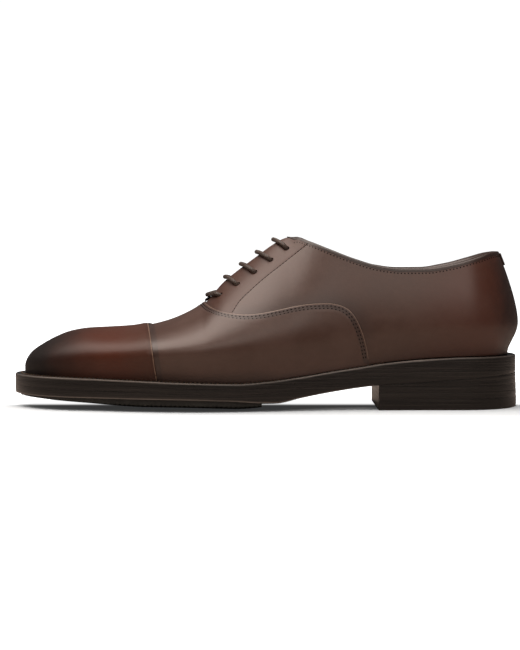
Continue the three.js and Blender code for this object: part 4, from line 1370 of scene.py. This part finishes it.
def makeCalf(name, redMore=0.0, wornGlint=0.4, wornGlintMix=0.3, dark=0.0, reach=2.6, creaseShade=0.32, rows=0.0, gloss=1.0,
             edgeColor="wornGlint"):
    c = calfSet
    m, t, s = newMaterial(name)
    grain = useGroup(t, grainGroup)
    shade = useGroup(t, burnishAndShadeGroup)
    seam = useGroup(t, seamGroup, {"EdgeWidth": wornGlint, "Reach": reach})
    patch = ramp(t, grain["Patch"], 0.35, 0.68)
    color = mixColor(t, patch, c["mid"], c["light"])
    red = calc(t, "ADD", calc(t, "MULTIPLY", shade["Red"], 0.85), redMore, 0.0, True)
    color = mixColor(t, calc(t, "MULTIPLY", red, ramp(t, grain["Patch"], 0.2, 0.8, 1.0, 0.6)), color,
                     c["red"])
    # darker at the hand-polished toe and back, with painted shade just above the welt
    color = mixColor(t, calc(t, "MAXIMUM", calc(t, "MULTIPLY", shade["BurnishAndShade"], 0.97), dark), color, c["dark"])
    # painted shade in the crease beside a seam
    color = mixColor(t, calc(t, "MULTIPLY", seam["CreaseShade"], creaseShade), color, c["shade"])
    # painted shade along the stitch rows
    color = mixColor(t, calc(t, "MULTIPLY", seam["Rows"], rows), color, c["shade"])
    # the thin edge line: wear with a painted glint, or a painted shadow line where its colour is dark
    color = mixColor(t, calc(t, "MULTIPLY", seam["Edge"], wornGlintMix), color, c[edgeColor])
    t.links.new(color, s.inputs["Base Color"])
    s.inputs["Specular IOR Level"].default_value = 0.12 + 0.3 * gloss
    rough = calc(t, "ADD", ramp(t, grain["Patch"], 0.3, 0.7, *c["roughness"]),
                 calc(t, "MULTIPLY", shade["BurnishAndShade"], 0.16))
    t.links.new(rough, s.inputs["Roughness"])
    t.links.new(ramp(t, shade["BurnishAndShade"], 0.0, 1.0, c["coat"] * gloss, 0.03), s.inputs["Coat Weight"])
    s.inputs["Coat Roughness"].default_value = c["coatRoughness"]
    t.links.new(bump(t, grain["Height"], c["bump"], 0.0004), s.inputs["Normal"])
    return m


def makePlainLeather(name, low, high, roughness, pore, strength):
    m, t, s = newMaterial(name)
    grain = useGroup(t, grainGroup, {"Pore": pore})
    rough = ramp(t, grain["Patch"], 0.25, 0.75, roughness - 0.08, roughness + 0.08)
    wire(t, s, mixColor(t, ramp(t, grain["Patch"], 0.3, 0.7), low, high), rough,
         bump(t, grain["Height"], strength, 0.0004))
    return m


# the sole's edge colour is a lighter line, partly wear and partly painted glint
soleSet = {"wornGlint": (0.17, 0.15, 0.135, 1), "dark": (0.0040, 0.0031, 0.0027, 1),
           "light": (0.022, 0.0180, 0.0155, 1), "roughness": 0.34, "bump": 0.32}


def makeSoleEdge(name, dark, light, roughness, strength):
    # layered leather sanded and inked: fine lines that run round the shoe
    m, t, s = newMaterial(name)
    p = objectPoint(t, (16, 16, 1900))
    lines = noise(t, p, 1.0, 4.0, 0.62)
    coarse = noise(t, objectPoint(t, (5, 5, 420)), 1.0, 2.0, 0.5)
    value = calc(t, "ADD", calc(t, "MULTIPLY", lines, 0.85), calc(t, "MULTIPLY", coarse, 0.15))
    color = mixColor(t, ramp(t, value, 0.44, 0.68), dark, light)
    # a lighter line along the welt's top edge and the outsole's lower edge: partly wear, partly a painted
    # glint
    seam = useGroup(t, seamGroup, {"EdgeWidth": 1.0})
    wornGlint = calc(t, "MULTIPLY", seam["Edge"], ramp(t, coarse, 0.35, 0.6, 0.5, 1.0))
    color = mixColor(t, wornGlint, color, soleSet["wornGlint"])
    t.links.new(color, s.inputs["Base Color"])
    t.links.new(ramp(t, lines, 0.3, 0.7, roughness - 0.08, roughness + 0.14), s.inputs["Roughness"])
    s.inputs["Coat Weight"].default_value = 0.08
    s.inputs["Coat Roughness"].default_value = 0.3
    s.inputs["Specular IOR Level"].default_value = 0.35
    t.links.new(bump(t, value, strength, 0.0005), s.inputs["Normal"])
    return m


def makeRubber():
    m, t, s = newMaterial("rubber")
    p = objectPoint(t)
    fine = noise(t, p, 1400.0, 3.0, 0.6)
    broad = noise(t, p, 60.0, 3.0, 0.6)
    color = mixColor(t, ramp(t, broad, 0.35, 0.7), (0.006, 0.007, 0.0065, 1), (0.018, 0.02, 0.018, 1))
    rough = ramp(t, fine, 0.3, 0.7, 0.55, 0.75)
    wire(t, s, color, rough, bump(t, fine, 0.25, 0.0002))
    return m


def makeBraid():
    # waxed round braid: two sets of crossing strands on the tube's own map
    m, t, s = newMaterial("waxed braid")
    uv = node(t, "ShaderNodeUVMap", uv_map="along").outputs["UV"]
    xyz = node(t, "ShaderNodeSeparateXYZ", {0: uv})
    along, around = xyz.outputs["X"], xyz.outputs["Y"]
    heights = []
    for way in (1, -1):
        phase = calc(t, "ADD", calc(t, "MULTIPLY", along, 0.62), calc(t, "MULTIPLY", around, 6.0 * way))
        wave = calc(t, "SINE", calc(t, "MULTIPLY", phase, 2 * math.pi))
        heights.append(calc(t, "ADD", calc(t, "MULTIPLY", wave, 0.5), 0.5))
    braid = calc(t, "MAXIMUM", heights[0], heights[1])
    wax = noise(t, objectPoint(t), 500.0, 4.0, 0.6)
    tone = calc(t, "ADD", calc(t, "MULTIPLY", braid, 0.7), calc(t, "MULTIPLY", wax, 0.3))
    color = mixColor(t, ramp(t, tone, 0.35, 0.95), (0.012, 0.008, 0.006, 1), (0.095, 0.066, 0.054, 1))
    rough = ramp(t, wax, 0.3, 0.7, 0.42, 0.6)
    wire(t, s, color, rough, bump(t, tone, 0.45, 0.00035))
    return m


def makeThread(name, dark, light):
    m, t, s = newMaterial(name)
    twist = noise(t, objectPoint(t), 2600.0, 2.0, 0.5)
    t.links.new(mixColor(t, ramp(t, twist, 0.35, 0.65), dark, light), s.inputs["Base Color"])
    t.links.new(ramp(t, twist, 0.3, 0.7, 0.7, 0.9), s.inputs["Roughness"])
    s.inputs["Specular IOR Level"].default_value = 0.15
    t.links.new(bump(t, twist, 0.4, 0.0001), s.inputs["Normal"])
    return m


def makeHidden(name, low, high, roughness, scale, metal=0.0):
    m, t, s = newMaterial(name)
    flecks = noise(t, objectPoint(t), scale, 4.0, 0.65)
    t.links.new(mixColor(t, ramp(t, flecks, 0.38, 0.62), low, high), s.inputs["Base Color"])
    t.links.new(ramp(t, flecks, 0.3, 0.7, roughness - 0.06, roughness + 0.06), s.inputs["Roughness"])
    s.inputs["Metallic"].default_value = metal
    t.links.new(bump(t, flecks, 0.3, 0.0003), s.inputs["Normal"])
    return m


calf = makeCalf("calf")
# vamp: a worn edge with a painted glint, and painted shade in the crease and along its stitch rows
vampCalf = makeCalf("vamp calf", 0.0, 0.6, 0.6, rows=0.6)
# quarter: a painted shadow line beside the vamp's edge, and a broad darker band up to 12 mm above the wing
# that is a painted dark reflection
quarterCalf = makeCalf("quarter calf", 0.0, 1.0, 0.8, reach=12.0, creaseShade=0.45, edgeColor="line")
# cap: a worn edge with a painted glint
capCalf = makeCalf("cap calf", 0.4, 0.7, 0.7, gloss=0.3)
facingCalf = makeCalf("facing calf", 0.25, gloss=0.75)
bandCalf = makeCalf("band calf", 0.0, dark=0.7)
liningLeather = makePlainLeather("lining leather", (0.36, 0.22, 0.125, 1), (0.45, 0.29, 0.175, 1), 0.6,
                                 1100.0, 0.12)
sockLeather = makePlainLeather("sock leather", (0.34, 0.21, 0.12, 1), (0.42, 0.27, 0.16, 1), 0.5,
                               1000.0, 0.12)
soleInk = makeSoleEdge("inked sole edge", soleSet["dark"], soleSet["light"], soleSet["roughness"],
                       soleSet["bump"])
bottomLeather = makePlainLeather("sole bottom", (0.020, 0.012, 0.008, 1), (0.045, 0.027, 0.018, 1), 0.45,
                                 800.0, 0.1)
rubberMat = makeRubber()
braidMat = makeBraid()
threadMat = makeThread("dark thread", (0.003, 0.002, 0.002, 1), (0.010, 0.006, 0.005, 1))
weltThreadMat = makeThread("welt thread", (0.05, 0.03, 0.02, 1), (0.12, 0.08, 0.055, 1))
tagMat = makeHidden("lace tip", (0.012, 0.008, 0.006, 1), (0.03, 0.02, 0.016, 1), 0.25, 300.0)
stiffMat = makeHidden("stiffener", (0.3, 0.2, 0.12, 1), (0.42, 0.3, 0.19, 1), 0.85, 700.0)
corkMat = makeHidden("cork", (0.2, 0.11, 0.05, 1), (0.42, 0.27, 0.14, 1), 0.9, 420.0)
steelMat = makeHidden("spring steel", (0.38, 0.38, 0.4, 1), (0.5, 0.5, 0.52, 1), 0.38, 240.0, 1.0)


def dress(obj, material, slot=None):
    obj.data.materials.clear()
    obj.data.materials.append(material)


def dressUnderside(obj, material):
    # the faces that look down take a second material
    obj.data.materials.append(material)
    for face in obj.data.polygons:
        if face.normal.z < -0.8:
            face.material_index = 1


def markSeam(obj, lines, most=8.0):
    layer = obj.data.attributes.new("seam", "FLOAT", "POINT")
    values = []
    for v in obj.data.vertices:
        p = v.co / mm - Vector((shiftX, shiftY, 0))
        values.append(min([most] + [line.distance(p) for line in lines]))
    layer.data.foreach_set("value", values)


wingLine = {s: Line([section(s, u, v) for u, v in vampEdges[s] if -12 < xAt(u) < 56]) for s in sides}
capTop = [Line([onLast(s, uCap(t), t, capSet["edge"]) for t in spread(0, 1, 60)]) for s in sides]
vampTop = [Line([onLast(s, u, v, vampSet["edge"]) for u, v in vampEdges[s]]) for s in sides]
markSeam(toeCap, capTop)
markSeam(vamp, vampTop + capTop)
for side in sides:
    # distance from the vamp's wing, for the quarter's painted shadow line and painted dark band
    markSeam(quarters[side], [wingLine[side]], 16.0)
    markSeam(facings[side], [vampEdgeLine[side]])
for obj in (band, heelTab, tongue):
    markSeam(obj, [])
dressing = [(toeCap, capCalf, "upper_leather"), (vamp, vampCalf, "upper_leather"),
            (band, bandCalf, "upper_leather"),
            (heelTab, bandCalf, "upper_leather"), (tongue, calf, "upper_leather")]
for side in sides:
    dressing += [(quarters[side], quarterCalf, "upper_leather"), (facings[side], facingCalf, "upper_leather"),
                 (quarterLinings[side], liningLeather, "lining_leather")]
dressing += [(tongueLining, liningLeather, "lining_leather"), (vampLining, liningLeather, "lining_leather"),
             (sockLining, sockLeather, "lining_leather")]
for row in dressing:
    dress(*row)
edgeSet = {"inset": 0.25, "weltDrop": -0.25, "soleRise": 0.1}


def soleLine(side, height, step, end=1000):
    # a line just inside the sole's outline, one step from a height that follows the shoe
    points = []
    for u in soleUs:
        x = soleEdge(side, u, 0)[0]
        if x < end:
            points.append(Vector((*soleEdge(side, u, edgeSet["inset"]), height(x) + step)))
    return Line(points)


# lines along the welt's top edge and the outsole's lower edge, where the sole edge is painted a lighter line,
# partly wear and partly glint
weltEdge = [soleLine(s, weltTop, edgeSet["weltDrop"]) for s in sides]
lowEdge = [soleLine(s, outsoleBottom, edgeSet["soleRise"], shoe["breast"]) for s in sides]
markSeam(welt, weltEdge)
markSeam(outsole, lowEdge)
for obj in (midsole, lift1, lift2, lift3, lift4, topPiece):
    markSeam(obj, [])
for obj in (welt, midsole, outsole, lift1, lift2, lift3, lift4):
    dress(obj, soleInk, "sole_leather")
dress(topPiece, soleInk, "sole_rubber")
dressUnderside(outsole, bottomLeather)
dressUnderside(topPiece, rubberMat)
dress(rubber, rubberMat, "sole_rubber")
dress(lace, braidMat, "waxed_cotton")
for obj in (tagLateral, tagMedial):
    dress(obj, tagMat, "lace_tip")
for obj in threads:
    dress(obj, weltThreadMat if "welt" in obj.name else threadMat, "thread")
for name, material in (("toe_puff", stiffMat), ("heel_counter", stiffMat), ("insole_rib", stiffMat),
                       ("insole", sockLeather),
                       ("cork_filler", corkMat), ("shank", steelMat)):
    dress(frame["nodes"][name], material)
print("materials made")

# stage: a pale floor, one wide soft panel overhead, and weak light all round
stageSet = {
    "floor": 6.0, "world": 0.10, "seenWorld": 1.05, "tint": (1.0, 0.88, 0.8),
    "pale": (0.70, 0.78, 0.84, 1), "dim": (0.46, 0.40, 0.36, 1),
    # the floor's own glow, for the camera alone: all round from afar, then behind and before the shoe
    "glowFar": (0.17, 0.6, 0.0, 1.2), "glowBehind": (-0.006, 0.012, 0.035, 1.0),
    "glowBefore": (-0.105, -0.06, 1.0, 0.0),
    "panels": (((1.7, 0.95), (-0.42, -0.05, 1.1), 24.0), ((1.4, 0.9), (0.3, -1.55, 1.1), 11.0)),
}


def makeStage(c):
    bpy.ops.object.select_all(action="DESELECT")
    bpy.ops.mesh.primitive_plane_add(size=c["floor"] * 2, location=(0, 0, 0))
    floor = bpy.context.object
    floor.name = "floor"
    m, t, s = newMaterial("pale floor")
    s.inputs["Base Color"].default_value = c["pale"]
    s.inputs["Roughness"].default_value = 0.9
    s.inputs["Specular IOR Level"].default_value = 0.0
    path = node(t, "ShaderNodeLightPath")
    where = node(t, "ShaderNodeTexCoord").outputs["Object"]
    far = node(t, "ShaderNodeVectorMath", {0: where}, operation="LENGTH").outputs["Value"]
    depth = node(t, "ShaderNodeSeparateXYZ", {0: where}).outputs["Y"]
    lit = calc(t, "MAXIMUM", ramp(t, far, *c["glowFar"]), ramp(t, depth, *c["glowBehind"]))
    lit = calc(t, "MAXIMUM", lit, ramp(t, depth, *c["glowBefore"]))
    glow = node(t, "ShaderNodeEmission",
                {"Strength": calc(t, "MULTIPLY", path.outputs["Is Camera Ray"], lit)})
    both = node(t, "ShaderNodeAddShader", {0: s.outputs[0], 1: glow.outputs[0]})
    dim = node(t, "ShaderNodeBsdfDiffuse", {"Color": c["dim"]})
    pick = node(t, "ShaderNodeMixShader",
                {0: path.outputs["Is Camera Ray"], 1: dim.outputs[0], 2: both.outputs[0]})
    t.links.new(pick.outputs[0], t.nodes["Material Output"].inputs[0])
    floor.data.materials.append(m)
    for size, where, power in c["panels"]:
        light = bpy.data.lights.new("panel", "AREA")
        light.shape = "RECTANGLE"
        light.size, light.size_y = size
        light.energy = power
        light.color = c["tint"]
        panel = bpy.data.objects.new("panel", light)
        bpy.context.scene.collection.objects.link(panel)
        panel.location = where
    world = bpy.data.worlds.new("studio")
    world.use_nodes = True
    bpy.context.scene.world = world
    w = world.node_tree
    back = w.nodes["Background"]
    rays = w.nodes.new("ShaderNodeLightPath")
    w.links.new(ramp(w, rays.outputs["Is Camera Ray"], 0.0, 1.0, c["world"], c["seenWorld"]),
                back.inputs["Strength"])
    back.inputs["Color"].default_value = (1, 1, 1, 1)
    bpy.context.scene.view_settings.view_transform = "Standard"


makeStage(stageSet)
